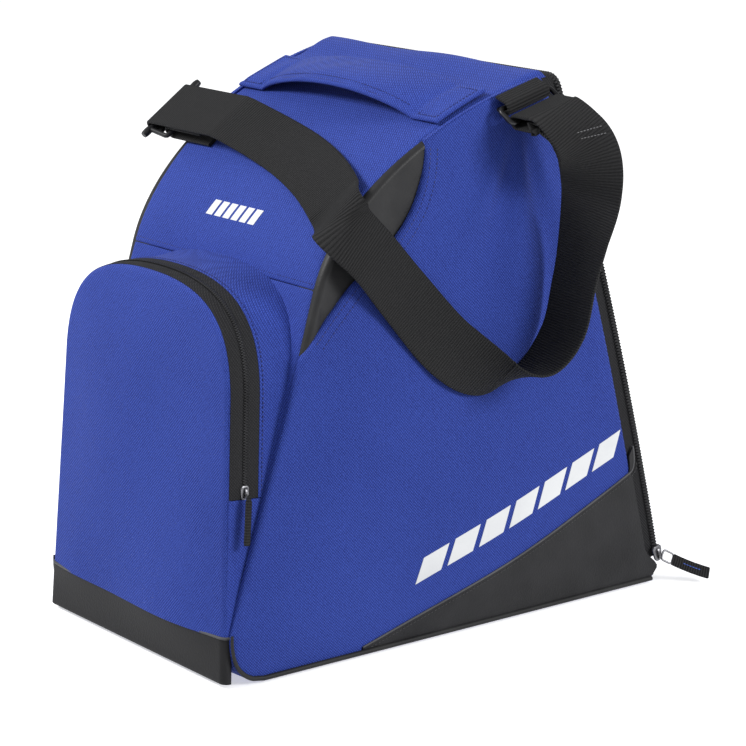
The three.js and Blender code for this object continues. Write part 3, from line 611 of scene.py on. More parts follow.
face_x, face_z = face_grid[..., 0], face_grid[..., 1]
face_depth = rolled(nearest(face_grid, face_rim), 3.4) - pocket_dome(face_x, face_z)
pocket_face = slab("pocket_face_cloth", pocket_place(face_x, face_depth, face_z),
                   pocket_place(face_x, np.full(face_x.shape, 3.5), face_z), blue_weave)
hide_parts("pocket_flap", "pocket_lower_face")
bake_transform(pocket_face)


zip_tape = cloth_finish("zip_tape", (0.008, 0.008, 0.009), (0.028, 0.028, 0.03), 0.8, 1.0, 0.3, wear=0.15)


def tape_flare(depth):
    """How far the arch has widened at a depth behind the pocket's face."""
    return 0.2 + 0.1 * depth


def arch_strip(start, end, depths, lift):
    """A grid along the pocket's arch, from start to end, and through depths behind its face;
    lift raises it square to the arch."""
    spot = along(ARCH, np.linspace(start, end, max(2, round((end - start) / 2.5))))
    out = -left_of(ARCH, np.linspace(start, end, len(spot)))
    raised = spot[:, None] + np.broadcast_to(lift, (1, len(depths)))[..., None] * out[:, None]
    return pocket_place(raised[..., 0], depths[None], raised[..., 1])


TAPE_END = 0.3  # the tapes stop this far from the ends of the arch
for name, depth, node, body in (("pocket_tape_front", (2.4, 14.2), "pocket_zip_tape_flap", "pocket_flap"),
                                ("pocket_tape_back", (14.7, 25.8), "pocket_zip_tape_body", "root")):
    d = np.linspace(*depth, 9)
    lift = tape_flare(d) + 0.5 * np.sin(np.pi * (d - depth[0]) / (depth[1] - depth[0]))
    faces = [arch_strip(TAPE_END, ARCH_LENGTH - TAPE_END, d, lift - wall) for wall in (0, 1.6)]
    tape = slab(name, *faces, zip_tape)
    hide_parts(node)
    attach(tape, body)


# Nylon coil is near black with a soft gloss.
nylon_coil = coated_finish("nylon_coil", (0.010, 0.010, 0.011), (0.03, 0.03, 0.032), 0.4, 1.2, 0.05)


def coil_teeth(name, line, out, across, body, pitch, size, shift):
    """One half of a zip's coil: a small rounded tooth every pitch along a line. size is its
    length along the line, across it and out of it; shift moves it to its own tape's side."""
    s = np.arange(pitch if shift > 0 else pitch / 2, travel(line)[-1] - pitch / 2, pitch)
    spot = along(line, s)
    way = unit(along(line, s + 0.5) - along(line, s - 0.5))
    up = unit(np.stack([np.interp(s, travel(line), out[:, k]) for k in range(3)], -1))
    wide = unit(np.stack([np.interp(s, travel(line), across[:, k]) for k in range(3)], -1))
    t = np.linspace(-1, 1, 5)[None, :, None, None]
    turn = np.linspace(0, 2 * np.pi, 6, endpoint=False)[None, None, :, None]
    thin = np.sqrt(np.maximum(1 - 0.82 * t**4, 0.05))
    girth = (np.cos(turn) * way[:, None, None] * size[0] + np.sin(turn) * up[:, None, None] * size[2]) / 2
    points = spot[:, None, None] + (shift + t * size[1] / 2) * wide[:, None, None] + thin * girth
    ends = [[3, 2, 1, 0], [0, 5, 4, 3], [24, 25, 26, 27], [27, 28, 29, 24]]
    one = np.vstack([cells(5, 6, closed=True), ends])
    quads = (np.arange(len(s))[:, None, None] * 30 + one).reshape(-1, 4)
    teeth = place_mesh(name, points, quads, nylon_coil)
    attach(teeth, body)


s = np.linspace(1, ARCH_LENGTH - 1, 400)
arch_out = -left_of(ARCH, s)
coil_line = along(ARCH, s) + (tape_flare(14.4) + 0.5) * arch_out
coil_line = pocket_place(coil_line[:, 0], 14.45, coil_line[:, 1])
out_3d = pocket_place(arch_out[:, 0], 0, arch_out[:, 1]) - pocket_place(0, 0, 0)
depth_way = np.broadcast_to(pocket_place(0, 1, 0) - pocket_place(0, 0, 0), out_3d.shape)
coil_teeth("pocket_coil_front", coil_line, out_3d, depth_way, "pocket_flap", 2.0, (1.5, 2.8, 1.3), -0.7)
coil_teeth("pocket_coil_back", coil_line, out_3d, depth_way, "root", 2.0, (1.5, 2.8, 1.3), 0.7)

g = np.linspace(0, 1, 12)
spot_s = np.linspace(TAPE_END, ARCH_LENGTH - TAPE_END, 170)
spot, out = along(ARCH, spot_s), -left_of(ARCH, spot_s)
deep = 26 + g[None] * (shell_depth(spot[:, 1:]) + 2.5 - 26)
sag = tape_flare(deep) + 0.2 - 1.2 * np.sin(np.pi * g)[None] * smooth_step(deep[:, -1:], 30, 50)
walls = [pocket_place(spot[:, :1] + lift * out[:, :1], deep, spot[:, 1:] + lift * out[:, 1:])
         for lift in (sag, sag - 2.6)]
gusset = slab("pocket_gusset_cloth", *walls, blue_weave)
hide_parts("pocket_gusset_arch")
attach(gusset, "root")

for name, side in SIDES:
    z = np.linspace(BAND_TOP - 4, POCKET_SEAM_Z - 0.3, 44)[:, None]
    half = 114 - 9 * (z - 4) / 200
    deep = 2.0 + g[None] * (shell_depth(z) + 2.5 - 2.0)
    sag = tape_flare(deep) * smooth_step(z, 60, 138)
    lower_gusset = slab(f"pocket_lower_gusset_{name}", pocket_place(side * (half + sag), deep, z),
                        pocket_place(side * (half - 2.6), deep, z), blue_weave)
    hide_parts(f"pocket_gusset_{name}")
    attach(lower_gusset, "root")

s = np.linspace(4, ARCH_LENGTH - 4, 320)
flat, out = along(ARCH, s), -left_of(ARCH, s)
rows = [pocket_place(flat[:, 0] + 3.4 * out[:, 0], 28.6, flat[:, 1] + 3.4 * out[:, 1])]
stitch_row("pocket_zip_stitches", rows, blue_thread, "root")


# ---------- Foot band of the pocket ----------
# A band of charcoal tarpaulin round the foot of the pocket, with thin grey piping on its seam. Its
# tarpaulin is a darker copy, which paints shade on the band near the floor.
tarpaulin = coated_finish("tarpaulin", (0.008, 0.008, 0.009), (0.023, 0.023, 0.025), 0.5, 1.6, 0.25)
BAND_BEND = 5.0


def band_plan(t, z):
    """The band in plan at a height: across the face, a quarter turn of radius 5 at each corner,
    then back to the shell. t runs from -1 at the far side to 1 at the near side."""
    half = 114.6 - 9 * (z - 4) / 200
    back = np.maximum(shell_depth(z) + 2.5, 6.5)
    straight = half - BAND_BEND
    d = np.abs(t) * (straight + BAND_BEND * np.pi / 2 + back - BAND_BEND)
    turned = np.clip((d - straight) / BAND_BEND, 0, np.pi / 2)
    beyond = np.maximum(d - straight - BAND_BEND * np.pi / 2, 0)
    across = np.minimum(d, straight) + BAND_BEND * np.sin(turned)
    return np.sign(t) * across, BAND_BEND * (1 - np.cos(turned)) + beyond - 0.9


def band_belly(across, z):
    """How far the band stands out: the pocket's dome just above it, fading towards the floor."""
    return pocket_dome(across, np.full(across.shape, BAND_TOP + 6.0)) * smooth_step(z, 0, 60)


BAND_FOOT = 3.4
z = np.r_[BAND_FOOT, 4.4, np.linspace(6, BAND_TOP - 1.2, 16), BAND_TOP - 0.4, BAND_TOP][:, None]
t = np.r_[np.linspace(-1, -0.86, 14), np.linspace(-0.84, 0.84, 60), np.linspace(0.86, 1, 14)][None]
across, deep = band_plan(t, z)
edge = rolled(np.minimum(z - BAND_FOOT, BAND_TOP - z), 0.9)
# painted shade: the band's tarpaulin is a copy of the tarpaulin at half its brightness, darker near the
# floor
band_painted_shade = coated_finish("band_tarpaulin_painted_shade", (0.004, 0.004, 0.005), (0.012, 0.012, 0.013), 0.55, 1.6, 0.25)
band = slab("foot_band", pocket_place(across, deep - band_belly(across, z) + edge, z),
            pocket_place(across * 0.985, deep + 2.2, z), band_painted_shade)
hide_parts("front_base_band")
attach(band, "root")


def framed(path, across):
    """Two unit vectors square to a path at each point: across made square to it, and a third."""
    way = unit(np.gradient(path, axis=0))
    across = np.broadcast_to(across, path.shape)
    across = unit(across - (across * way).sum(-1, keepdims=True) * way)
    return across, np.cross(way, across)


def round_section(radius, count=12):
    """Points of a circle: its radius times the cosine and the sine of even turns."""
    turn = np.linspace(0, 2 * np.pi, count, endpoint=False)
    return radius * np.stack([np.cos(turn), np.sin(turn)], -1)


def swept(name, path, across, section, material, body, closed=False, scale=None):
    """A section carried along a path: each of its points is put out along the across vector and
    the vector square to it, times scale where that is given. Ends are capped, or joined if closed."""
    path = np.asarray(path, float)
    a, n = framed(path, across)
    size = np.ones(len(path)) if scale is None else np.asarray(scale)
    spread = section[:, :1] * a[:, None] + section[:, 1:] * n[:, None]
    rings = path[:, None] + size[:, None, None] * spread
    count = len(section)
    quads = cells(len(path), count, closed=True)
    caps = [np.arange(count)[::-1], np.arange(count) + (len(path) - 1) * count]
    if closed:
        last = (len(path) - 1) * count + np.arange(count)
        first = np.arange(count)
        quads = np.vstack([quads, np.stack([last, first, np.roll(first, -1), np.roll(last, -1)], -1)])
        caps = []
    girth = travel(np.vstack([section, section[:1]]))[:-1]
    measure = np.dstack(np.broadcast_arrays(girth[None], travel(path)[:, None]))
    thing = place_mesh(name, rings, quads, material, caps, measure)
    if body:
        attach(thing, body)
    return thing


t = np.linspace(-1, 1, 160)
across, deep = band_plan(t, np.full(160, float(BAND_TOP)))
grey_piping = coated_finish("grey_piping", (0.05, 0.05, 0.055), (0.11, 0.11, 0.115), 0.5, 1.5, 0.1)
seam = pocket_place(across, deep - band_belly(across, BAND_TOP) + 0.2, BAND_TOP + 0.6)
piping = swept("foot_band_piping", seam, (0, 0, 1), round_section(1.1), grey_piping, "root")


# ---------- Corner patches and piping ----------
# A triangle of tarpaulin covers the lower rear corner of each side. Its upper edge is bound, and
# sweeps up beside the zip. Black piping closes the seam between each side and the base.
patch_top = bezier((-90, 6.8), (60, 50), (168, 96), steps=60)
patch_top = np.vstack([patch_top, bezier((168, 96), (174, 99), (170.5, 117), steps=14)[1:]])
up = np.linspace(3, 106, 40)
patch_rear = rear_offset(up, 5 + (REAR_DEPTH - 4.6) * smooth_step(up, 2, 24))
patch_right = np.vstack([(194, 4.6), patch_rear, patch_top[-1:]])
patch_bottom = bezier((-90, 4.6), (194, 4.6), steps=80)
patch_left = np.array([(-90, 4.6), (-90, 6.8)], float)
patch_grid = four_sided(patch_bottom, patch_top, patch_left, patch_right, 2.9, edge=(0, 0.6, 1.4, 2.6))
black_piping = coated_finish("black_piping", (0.012, 0.012, 0.013), (0.03, 0.03, 0.03), 0.55, 1.4, 0.15)
y = np.linspace(-178, 194, 90)
piping_path = np.stack([HALF_WIDTH * taper(y) + 2.0, y, np.full(90, 3.0)], -1)
toe_path = np.stack([HALF_WIDTH * taper(TOE[::-1, 0]) + 1.2, TOE[::-1, 0], TOE[::-1, 1] + 2], -1)
for name, side in SIDES:
    y, z = patch_grid[..., 0], patch_grid[..., 1]
    edge = nearest(patch_grid, along(patch_top, np.arange(0, travel(patch_top)[-1], 1.0)))
    outer = near_side(y, z, 1.3 - rolled(edge, 1.0))
    inner = near_side(y, z, 0.1)
    patch = slab(f"corner_patch_cloth_{name}", mirrored(outer, side), mirrored(inner, side), tarpaulin)
    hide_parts(f"corner_patch_{name}")
    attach(patch, "root")
    flat = along(patch_top, np.linspace(0, travel(patch_top)[-1], 140))
    path = mirrored(near_side(flat[:, 0], flat[:, 1], 0.9), side)
    binding = swept(f"patch_binding_{name}", path, (1, 0, 0), round_section(0.8, 8), grey_piping, "root")
    s = np.arange(6, travel(patch_top)[-1] - 12, 1.5)
    flat = along(patch_top, s) - 3.2 * left_of(patch_top, s)
    row = mirrored(near_side(flat[:, 0], flat[:, 1], 1.4), side)
    stitch_row(f"patch_stitches_{name}", [row], black_thread, "root")
    path = mirrored(np.vstack([piping_path[::-1], toe_path[4:]]), side)
    cord = swept(f"seam_piping_{name}", path, (1, 0, 0), round_section(1.9), black_piping, "root",
                 scale=np.r_[np.ones(90), np.linspace(1, 0.55, len(toe_path) - 4)])
    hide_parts(f"base_piping_{name}")


# ---------- Base ----------
# The underside is a charcoal tarpaulin panel that turns up behind as the lip that the rear flap
# is sewn to. A stiff board lies on it inside.
def flat_plate(name, low, high, material, corner=3.0, edge=1.0):
    """A plate between two corners, its sides tapered with the bag: a rectangle's points pulled in
    at its rim by quarter circles, so that it has a rounded edge."""
    x = spaced(high[0] - low[0], 12, (0, 0.4, 1, corner)) + low[0]
    y = spaced(high[1] - low[1], 12, (0, 0.4, 1, corner)) + low[1]
    x_gap, y_gap = np.minimum(x - low[0], high[0] - x), np.minimum(y - low[1], high[1] - y)
    gap = np.minimum(x_gap[:, None], y_gap[None])
    drop = rolled(gap, edge)
    wide = x[:, None] * taper(y[None])
    upper = np.stack(np.broadcast_arrays(wide, y[None], high[2] - drop), -1)
    lower = np.stack(np.broadcast_arrays(wide, y[None], low[2] + drop), -1)
    return slab(name, upper, lower, material)


floor_panel = flat_plate("base_cloth", (-121.2, -176, 0.2), (121.2, 200, 3), tarpaulin)
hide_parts("base_panel")
fibre_board = coated_finish("fibre_board", (0.010, 0.010, 0.010), (0.022, 0.022, 0.023), 0.6, 2.5, 0.2)
board = flat_plate("base_stiffener", (-114, -168, 3.5), (114, 190, 6.2), fibre_board)
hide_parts("base_board")
lip_line = np.array([(199, 0.8), (203.5, 1.8), (205.2, 5), (205.6, 8.4)], float)
x = spaced(242, 8) - 121
lip_rows = np.broadcast_to(lip_line[:, None], (len(lip_line), len(x), 2))
lip_outer = np.dstack([x[None] * taper(lip_line[:, :1]), lip_rows])
lip = slab("base_lip", lip_outer, lip_outer - np.array([0, 3.4, -0.6]), tarpaulin)
for piece, slot in ((floor_panel, "tarpaulin"), (board, "board"), (lip, "tarpaulin")):
    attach(piece, "root")


# ---------- Inner foam and linings ----------
# Each side has a sheet of foam and a dark lining behind its panel; the wrap and the rear flap are
# lined too. They show only when the flap is open.
foam = coated_finish("grey_foam", (0.22, 0.22, 0.23), (0.34, 0.34, 0.35), 0.95, 2.0, 0.5)
lining_cloth = cloth_finish("lining_cloth", (0.010, 0.011, 0.014), (0.04, 0.043, 0.052), 0.75, 1.1, 0.2)
INNER_GAP = 6.2  # the sheets stop this far inside the outline
inner_right = np.vstack([(180, 7), rear_offset(np.linspace(8, REAR_LENGTH - 6, 60), np.full(60, 16.4))])
s = np.linspace(crest_at(-60), 20, 50)
inner_top = np.vstack([along(CREST, s) + INNER_GAP * left_of(CREST, s), inner_right[-1:]])
front_in = FRONT[::-1] - INNER_GAP * left_of(FRONT[::-1], travel(FRONT[::-1]))
s = np.linspace(travel(CREST)[-1], crest_at(-60), 30)
crest_in = along(CREST, s) + INNER_GAP * left_of(CREST, s)
inner_left = np.vstack([(-170, 7), front_in[2:-2], crest_in[1:-1], inner_top[:1]])
inner_bottom = bezier((-170, 7), (180, 7), steps=60)
inner_grid = four_sided(inner_bottom, inner_top, inner_left, inner_right, 7.0, edge=(0, 0.8, 2))
y, z = inner_grid[..., 0], inner_grid[..., 1]
pucker = 0.25 * np.sin(y / 17 + z / 23) + 0.25 * np.sin(y / 13 - z / 19)
for name, side in SIDES:
    for kind, outer, wall, material, slot in (("foam_sheet", 121.2, 3.9, foam, "foam"),
                                              ("lining_sheet", 116.9, 1.2, lining_cloth, "lining")):
        x_out = (outer - 0.2) * taper(y) + (pucker if slot == "lining" else 0) * 0.6
        sheet = slab(f"{kind}_{name}", mirrored(np.stack([x_out, y, z], -1), side),
                     mirrored(np.stack([x_out - wall * 0.9, y, z], -1), side), material)
        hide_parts(f"side_{slot}_{name}")
        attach(sheet, "root")

liner_line = np.vstack([CREST, FRONT[1:]])
s = np.linspace(18, travel(liner_line)[-1] - 16, 120)
x = np.linspace(-114.4, 114.4, 60)
ripple = 0.4 * np.sin(s / 15)[:, None] * np.sin(x / 21)[None] - 5.2
faces = [wrapped(liner_line, s, x, ripple - wall) for wall in (0, 1.1)]
wrap_liner = slab("wrap_lining_cloth", *faces, lining_cloth)
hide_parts("wrap_lining")
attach(wrap_liner, "root")


# ---------- Main zip and rear flap ----------
# A coil zip runs up one side, over the top and down the other, right at the rear corner. Its body
# tape lies in the side, its flap tape frames the rear flap, which hinges on the base lip.
ZIP_CORNER = 9.0


def rear_place(x, up, depth):
    """Points of the rear: x across before the taper, up is the distance along the rear edge, and
    depth is how far in from it."""
    x, up, depth = np.broadcast_arrays(x, up, depth)
    flat = along(REAR, up.ravel()) + depth.ravel()[:, None] * left_of(REAR, up.ravel())
    return np.stack([x.ravel() * taper(flat[:, 0]), *flat.T], -1).reshape(*x.shape, 3)


def zip_route(foot, inset=0.0, head=5.6):
    """The zip's route in (x, up): up the near side, round a corner, across, round and down."""
    half, top, corner = HALF_WIDTH - inset, REAR_LENGTH + head - inset, max(ZIP_CORNER - inset, 1.5)
    turn = np.linspace(0, np.pi / 2, 10)
    bend = np.array([half - corner, top - corner]) + corner * np.stack([np.cos(turn), np.sin(turn)], -1)
    near = np.vstack([[(half, foot)], bend])
    return np.vstack([near, (near * (-1, 1))[::-1]])


route_steps = np.linspace(0, 1, 460)


def zip_strip(foot, insets, depths):
    """A grid along the zip's route, through pairs of inset from the side and depth from the rear."""
    columns = []
    for inset, depth in zip(insets, depths):
        route = zip_route(foot, inset, 5.6 + 0.25 * depth)
        spot = along(route, route_steps * travel(route)[-1])
        columns.append(rear_place(spot[:, 0], spot[:, 1], np.full(len(spot), depth)))
    return np.stack(columns, 1)


ZIP_FOOT = 12
depths = np.r_[5.0, 5.6, 7, 9, 11, 13, 15, 16.4]
faces = [zip_strip(ZIP_FOOT, np.full(8, inset), depths) for inset in (0.5, 2.2)]
body_tape = slab("main_zip_body_tape", *faces, zip_tape)
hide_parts("main_zip_tape_body")
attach(body_tape, "root")
insets = np.r_[0.4, 1, 2, 4, 6, 8, 10, 12]
behind = zip_strip(ZIP_FOOT, insets, np.r_[1.2, 0.5, 0.2, 0.0, 0, 0, 0.3, 1.0])
ahead = zip_strip(ZIP_FOOT, np.maximum(insets, 1.2), np.r_[4.6, np.full(7, 2.4)])
flap_tape = slab("main_zip_flap_tape", behind, ahead, zip_tape)
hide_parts("main_zip_tape_flap")
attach(flap_tape, "rear_flap")
route = zip_route(ZIP_FOOT)
spot = along(route, route_steps * travel(route)[-1])
zip_line = rear_place(spot[:, 0] * (1 + 0.5 / HALF_WIDTH), spot[:, 1], np.full(len(spot), 4.0))
outwards = -left_of(route, route_steps * travel(route)[-1])
up_way = unit(rear_place(spot[:, 0], spot[:, 1] + 1, 4.0) - rear_place(spot[:, 0], spot[:, 1] - 1, 4.0))
zip_out = unit(outwards[:, :1] * np.array([1, 0, 0]) + outwards[:, 1:] * up_way)
zip_deep = unit(rear_place(spot[:, 0], spot[:, 1], 5.0) - rear_place(spot[:, 0], spot[:, 1], 4.0))
coil_teeth("main_coil_flap", zip_line, zip_out, zip_deep, "rear_flap", 2.6, (2.0, 3.4, 1.9), -1.0)
coil_teeth("main_coil_body", zip_line, zip_out, zip_deep, "root", 2.6, (2.0, 3.4, 1.9), 0.9)

up = spaced(REAR_LENGTH - 4, 3.2)
x = spaced(2 * 116.0, 3.2) - 116
arch = (1 - (x / 116) ** 2)[None] ** 0.6 * np.sin(np.pi * up / (REAR_LENGTH - 4))[:, None] ** 0.6
waves = 0.8 * np.sin(x / 31)[None] * np.sin(up / 43)[:, None]
waves = waves + 0.6 * np.sin(x[None] / 24 + up[:, None] / 57)
lower = rolled(np.minimum(116 - np.abs(x)[None], np.minimum(up, REAR_LENGTH - 4 - up)[:, None]), 2.6)
rear_cloth = slab("rear_panel_cloth", rear_place(x[None], up[:, None] + 0.5, lower - (5.5 + waves) * arch),
                  rear_place(x[None], up[:, None] + 0.5, np.full(lower.shape, 4.6)), blue_weave)
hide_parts("rear_panel")
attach(rear_cloth, "rear_flap")
up = np.linspace(8, REAR_LENGTH - 12, 80)
x = np.linspace(-112, 112, 60)
ripple = 5.6 + 0.4 * np.sin(up / 19)[:, None] * np.sin(x / 17)[None]
faces = [rear_place(x[None], up[:, None], ripple + wall) for wall in (1.1, 0)]
rear_liner = slab("rear_lining_cloth", *faces, lining_cloth)
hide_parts("rear_lining")
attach(rear_liner, "rear_flap")


# ---------- Zip sliders and their pulls ----------
# Each zip has one die-cast slider with a bail over it. The main one carries a wire link and a
# webbing tab that hangs out behind; the pocket's carries a narrow ribbon.
def metal_finish(name, dark, light, roughness):
    """Plated metal: noise clouds its colour and its gloss, as handling does."""
    material = coated_finish(name, dark, light, roughness, 3.0, 0.03)
    material.node_tree.nodes["Principled BSDF"].inputs["Metallic"].default_value = 0.9
    return material


gunmetal = metal_finish("gunmetal", (0.10, 0.10, 0.11), (0.24, 0.24, 0.25), 0.34)


def rounded_section(width, wall, count=20, power=0.45):
    """Points of a rectangle with rounded corners: cosine and sine, each raised to a power."""
    turn = np.linspace(0, 2 * np.pi, count, endpoint=False)
    circle = np.stack([np.cos(turn), np.sin(turn)], -1)
    return np.sign(circle) * np.abs(circle) ** power * (width / 2, wall / 2)


def slider_parts(name, centre, way, out, size, body):
    """A slider's body, wide at its mouth and narrow at its tail, and the bail that arches over it."""
    long, wide, thick = size
    t = np.linspace(-1, 1, 13)
    path = centre + t[:, None] * long / 2 * way
    shape = (0.84 + 0.16 * t) * (1 - 0.35 * np.abs(t) ** 6)
    across, section = np.cross(way, out), rounded_section(wide, thick)
    body_part = swept(name + "_body", path, across, section, gunmetal, body, scale=shape)
    arch = np.linspace(0.05, 0.95, 13)[:, None] * np.pi
    over = centre + out * (thick * 0.3 + 2.3 * np.sin(arch)) + way * np.cos(arch) * long * 0.36
    bail = swept(name + "_bail", over, across, rounded_section(2.6, 1.1, 10), gunmetal, body)
    return body_part


def wire_loop(name, centre, long_way, wide_way, long, wide, corner, wire, material, body):
    """A wire bent to a rounded rectangle: four straights joined by quarter turns."""
    a, b = long / 2 - wire - corner, wide / 2 - wire - corner
    turn = np.linspace(0, np.pi / 2, 7)
    quarter = np.stack([np.cos(turn), np.sin(turn)], -1) * corner
    half = np.vstack([quarter + (a, b), quarter[::-1] * (-1, 1) + (-a, b)])
    flat = np.vstack([half, -half, half[:1]])
    flat = along(flat, np.linspace(0, travel(flat)[-1], 81)[:-1])
    path = centre + flat[:, :1] * long_way + flat[:, 1:] * wide_way
    across = np.cross(long_way, wide_way)
    return swept(name, path, across, round_section(wire, 10), material, body, closed=True)


slide_way = np.array([-0.013954, -0.265889, 0.963903])
slide_out = unit(np.array([1, -0.0524, 0]))
slide_out = unit(slide_out - slide_out @ slide_way * slide_way)
main_centre = np.array([139.6, 198.9, 23.4])
main_slider = slider_parts("main_slider", main_centre, slide_way, slide_out, (13, 9.6, 3.8), "main_slider")
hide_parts("main_zip_slider")

pull_root = np.array([146.9, 200.4, 22.7])
pull_way = unit(np.array([0.5, 0.72, -0.46]))
pull_wide = np.cross(slide_way, slide_out)
pull_wide = unit(pull_wide - pull_wide @ pull_way * pull_way)
link_centre = pull_root + 2.4 * pull_way
link = wire_loop(
    "main_pull_link_wire", link_centre, pull_way, pull_wide, 11, 10.6, 2.2, 0.8, gunmetal, "main_pull")
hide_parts("main_pull_link")


def webbing_finish(name, dark, light, rib, relief):
    """Ribbed webbing, on the piece's own lengthwise map: waves along it make the crosswise ribs,
    finer waves across it the yarns, and noise the fluff and the worn grey."""
    material, tree, shader = plain_finish(name, dark, 0.78)
    shader.inputs["Specular IOR Level"].default_value = 0.22
    place, ribs, yarns, fluff, both, sum_up, ramp, bump = nodes_for(
        tree, "UVMap", "TexWave", "TexWave", "TexNoise", "Math", "Math", "ValToRGB", "Bump")
    for wave, direction, period in ((ribs, "Y", rib), (yarns, "X", 0.9)):
        wave.bands_direction = direction
        wave.inputs["Scale"].default_value = 1000 / period * 2 * math.pi / 20
        wave.inputs["Distortion"].default_value = 0.6
    fluff.inputs["Scale"].default_value = 800
    both.operation, sum_up.operation = "MULTIPLY_ADD", "MULTIPLY_ADD"
    both.inputs[1].default_value, sum_up.inputs[1].default_value = 0.35, 0.5
    link = tree.links.new
    for node in (ribs, yarns, fluff):
        link(place.outputs["UV"], node.inputs["Vector"])
    link(yarns.outputs["Fac"], both.inputs[0])
    link(ribs.outputs["Fac"], both.inputs[2])
    link(fluff.outputs["Fac"], sum_up.inputs[0])
    link(both.outputs[0], sum_up.inputs[2])
    ramp.color_ramp.elements[0].position, ramp.color_ramp.elements[1].position = 0.2, 1.6
    ramp.color_ramp.elements[0].color = (*dark, 1)
    ramp.color_ramp.elements[1].color = (*light, 1)
    link(sum_up.outputs[0], ramp.inputs["Fac"])
    link(ramp.outputs["Color"], shader.inputs["Base Color"])
    bump.inputs["Strength"].default_value, bump.inputs["Distance"].default_value = 0.9, relief / 1000
    link(sum_up.outputs[0], bump.inputs["Height"])
    link(bump.outputs["Normal"], shader.inputs["Normal"])
    return material


webbing = webbing_finish("webbing", (0.003, 0.003, 0.0035), (0.024, 0.024, 0.025), 2.1, 0.9)


def flat_section(width, wall, count=17):
    """Points of a flat strip with round edges, evenly spread over both faces."""
    half = (width - wall) / 2
    face = np.linspace(half, -half, count)
    turn = np.linspace(np.pi / 2, 3 * np.pi / 2, 6)[1:-1]
    left = np.stack([-half + np.cos(turn) * wall / 2, np.sin(turn) * wall / 2], -1)
    top = np.stack([face, np.full(count, wall / 2)], -1)
    return np.vstack([top, left, top * (-1, -1), left * (-1, -1)])


t = np.linspace(0, 1, 30)[:, None]
tab_path = pull_root + pull_way * (6.6 + 34 * t) + np.array([0, 0, 1]) * 3.2 * t**2
tab = swept("main_pull_webbing", tab_path, pull_wide, flat_section(10, 2.6, 9), webbing, "main_pull",
            scale=np.r_[0.9, np.ones(28), 0.96])
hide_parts("main_pull_tab")
bright_thread = thread_finish("bright_thread", (0.03, 0.09, 0.45))
tab_top = np.cross(pull_wide, pull_way)
tab_top = tab_top * np.sign(tab_top[0])
pull_row = stitch_row(
    "main_pull_stitches", [tab_path[8:24] + tab_top * 1.3], bright_thread, "main_pull", 2.6, 2.4, 0.45)

pocket_way = unit(pocket_place(-0.045, 0, 1) - pocket_place(0, 0, 0))
pocket_out = unit(np.array([1, 0, 0.045]))
pocket_centre = pocket_place(109.6, 14.4, 143.0)
pocket_slider = slider_parts(
    "pocket_slider", pocket_centre, pocket_way, pocket_out, (10, 8, 3.2), "pocket_slider")
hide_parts("pocket_zip_slider")
ribbon_path = pocket_place(115.2 + 3.0 * t[:, 0] ** 0.8, 14.3 - 2.0 * t[:, 0], 142.4 - 36 * t[:, 0])
ribbon = swept("pocket_pull_ribbon", ribbon_path, depth_way[0], flat_section(5.4, 2.4, 7), webbing,
               "pocket_pull", scale=np.r_[0.45, 0.6, 0.75, 0.85, np.ones(24), 0.95, 0.85])
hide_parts("pocket_pull")


# ---------- Carry handle ----------
# A padded band of blue cloth over foam, sewn down at both ends of the top. Its front edge arches
# up so that a hand can pass under it, and two rows of stitches run along that edge.
HANDLE_Y = 6
HANDLE_WIDE = 50
HANDLE_REACH = 119.8
HANDLE_ARCH = 89.8  # the band leaves the top this far out from the middle


def handle_rise(x, w):
    """How far the underside stands over the crest: an arch over x, full at the front edge and
    falling to half at the rear one, where w runs from -25 in front to 25 behind."""
    arch = np.maximum(0, 1 - (x / HANDLE_ARCH) ** 2) ** 0.8
    return 2.3 + 17 * arch * (0.77 - 0.23 * np.sin(np.pi * w / HANDLE_WIDE))


def over_crest(x, w, rise, centre_y=HANDLE_Y):
    """Points over the crest: w is the distance behind centre_y along it, rise the height square to it."""
    x, w, rise = np.broadcast_arrays(x, w, rise)
    s = crest_at(centre_y) - w.ravel()
    flat = along(CREST, s) - rise.ravel()[:, None] * left_of(CREST, s)
    return np.stack([x.ravel(), *flat.T], -1).reshape(*x.shape, 3)


w = spaced(HANDLE_WIDE, 2.6, (0, 0.4, 1.1, 2)) - HANDLE_WIDE / 2
for name, side in SIDES:
    x = np.r_[np.linspace(0, HANDLE_REACH - 4, 60), HANDLE_REACH - np.array([2.5, 1.2, 0.5, 0])][:, None]
    edge = rolled(np.minimum(HANDLE_WIDE / 2 - np.abs(w)[None], HANDLE_REACH - x), 1.7)
    pad = 1.2 * (1 - (w / 25) ** 2)[None] * (1 - smooth_step(x, 96, 112))
    pad = pad + 0.25 * np.sin(x / 7 + w[None] / 9)
    pinch = 0.7 * np.exp(-(((w[None] + 19.5) / 1.6) ** 2)) + 0.5 * np.exp(-(((x - 93) / 2.2) ** 2))
    base = handle_rise(x, w[None])
    upper = over_crest(side * x, w[None], base + 3.4 + pad - pinch - edge)
    lower = over_crest(side * x, w[None], base + edge * 0.8)
    half = slab(f"carry_handle_cloth_{name}", upper, lower, blue_weave)
    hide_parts("carry_handle", f"handle_end_{name}")
    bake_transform(half)
    ends = np.array([(96, -21), (116, -21), (116, 21), (96, 21), (96, -21)], float)
    ends = along(ends, np.linspace(0, travel(ends)[-1], 120))
    rows = [over_crest(side * ends[:, 0], ends[:, 1], handle_rise(ends[:, 0], ends[:, 1]) + 3.6)]
    stitch_row(f"handle_end_stitches_{name}", rows, blue_thread, "root")
rows = []
for across in (-22.0, -17.5):
    x = np.linspace(-84, 84, 160)
    lift = 3.5 + 1.2 * (1 - (across / 25) ** 2) - 0.5 * (across < -20)
    rows.append(over_crest(x, across, handle_rise(x, across) + lift))
stitch_row("handle_stitches", rows, blue_thread, "handle")


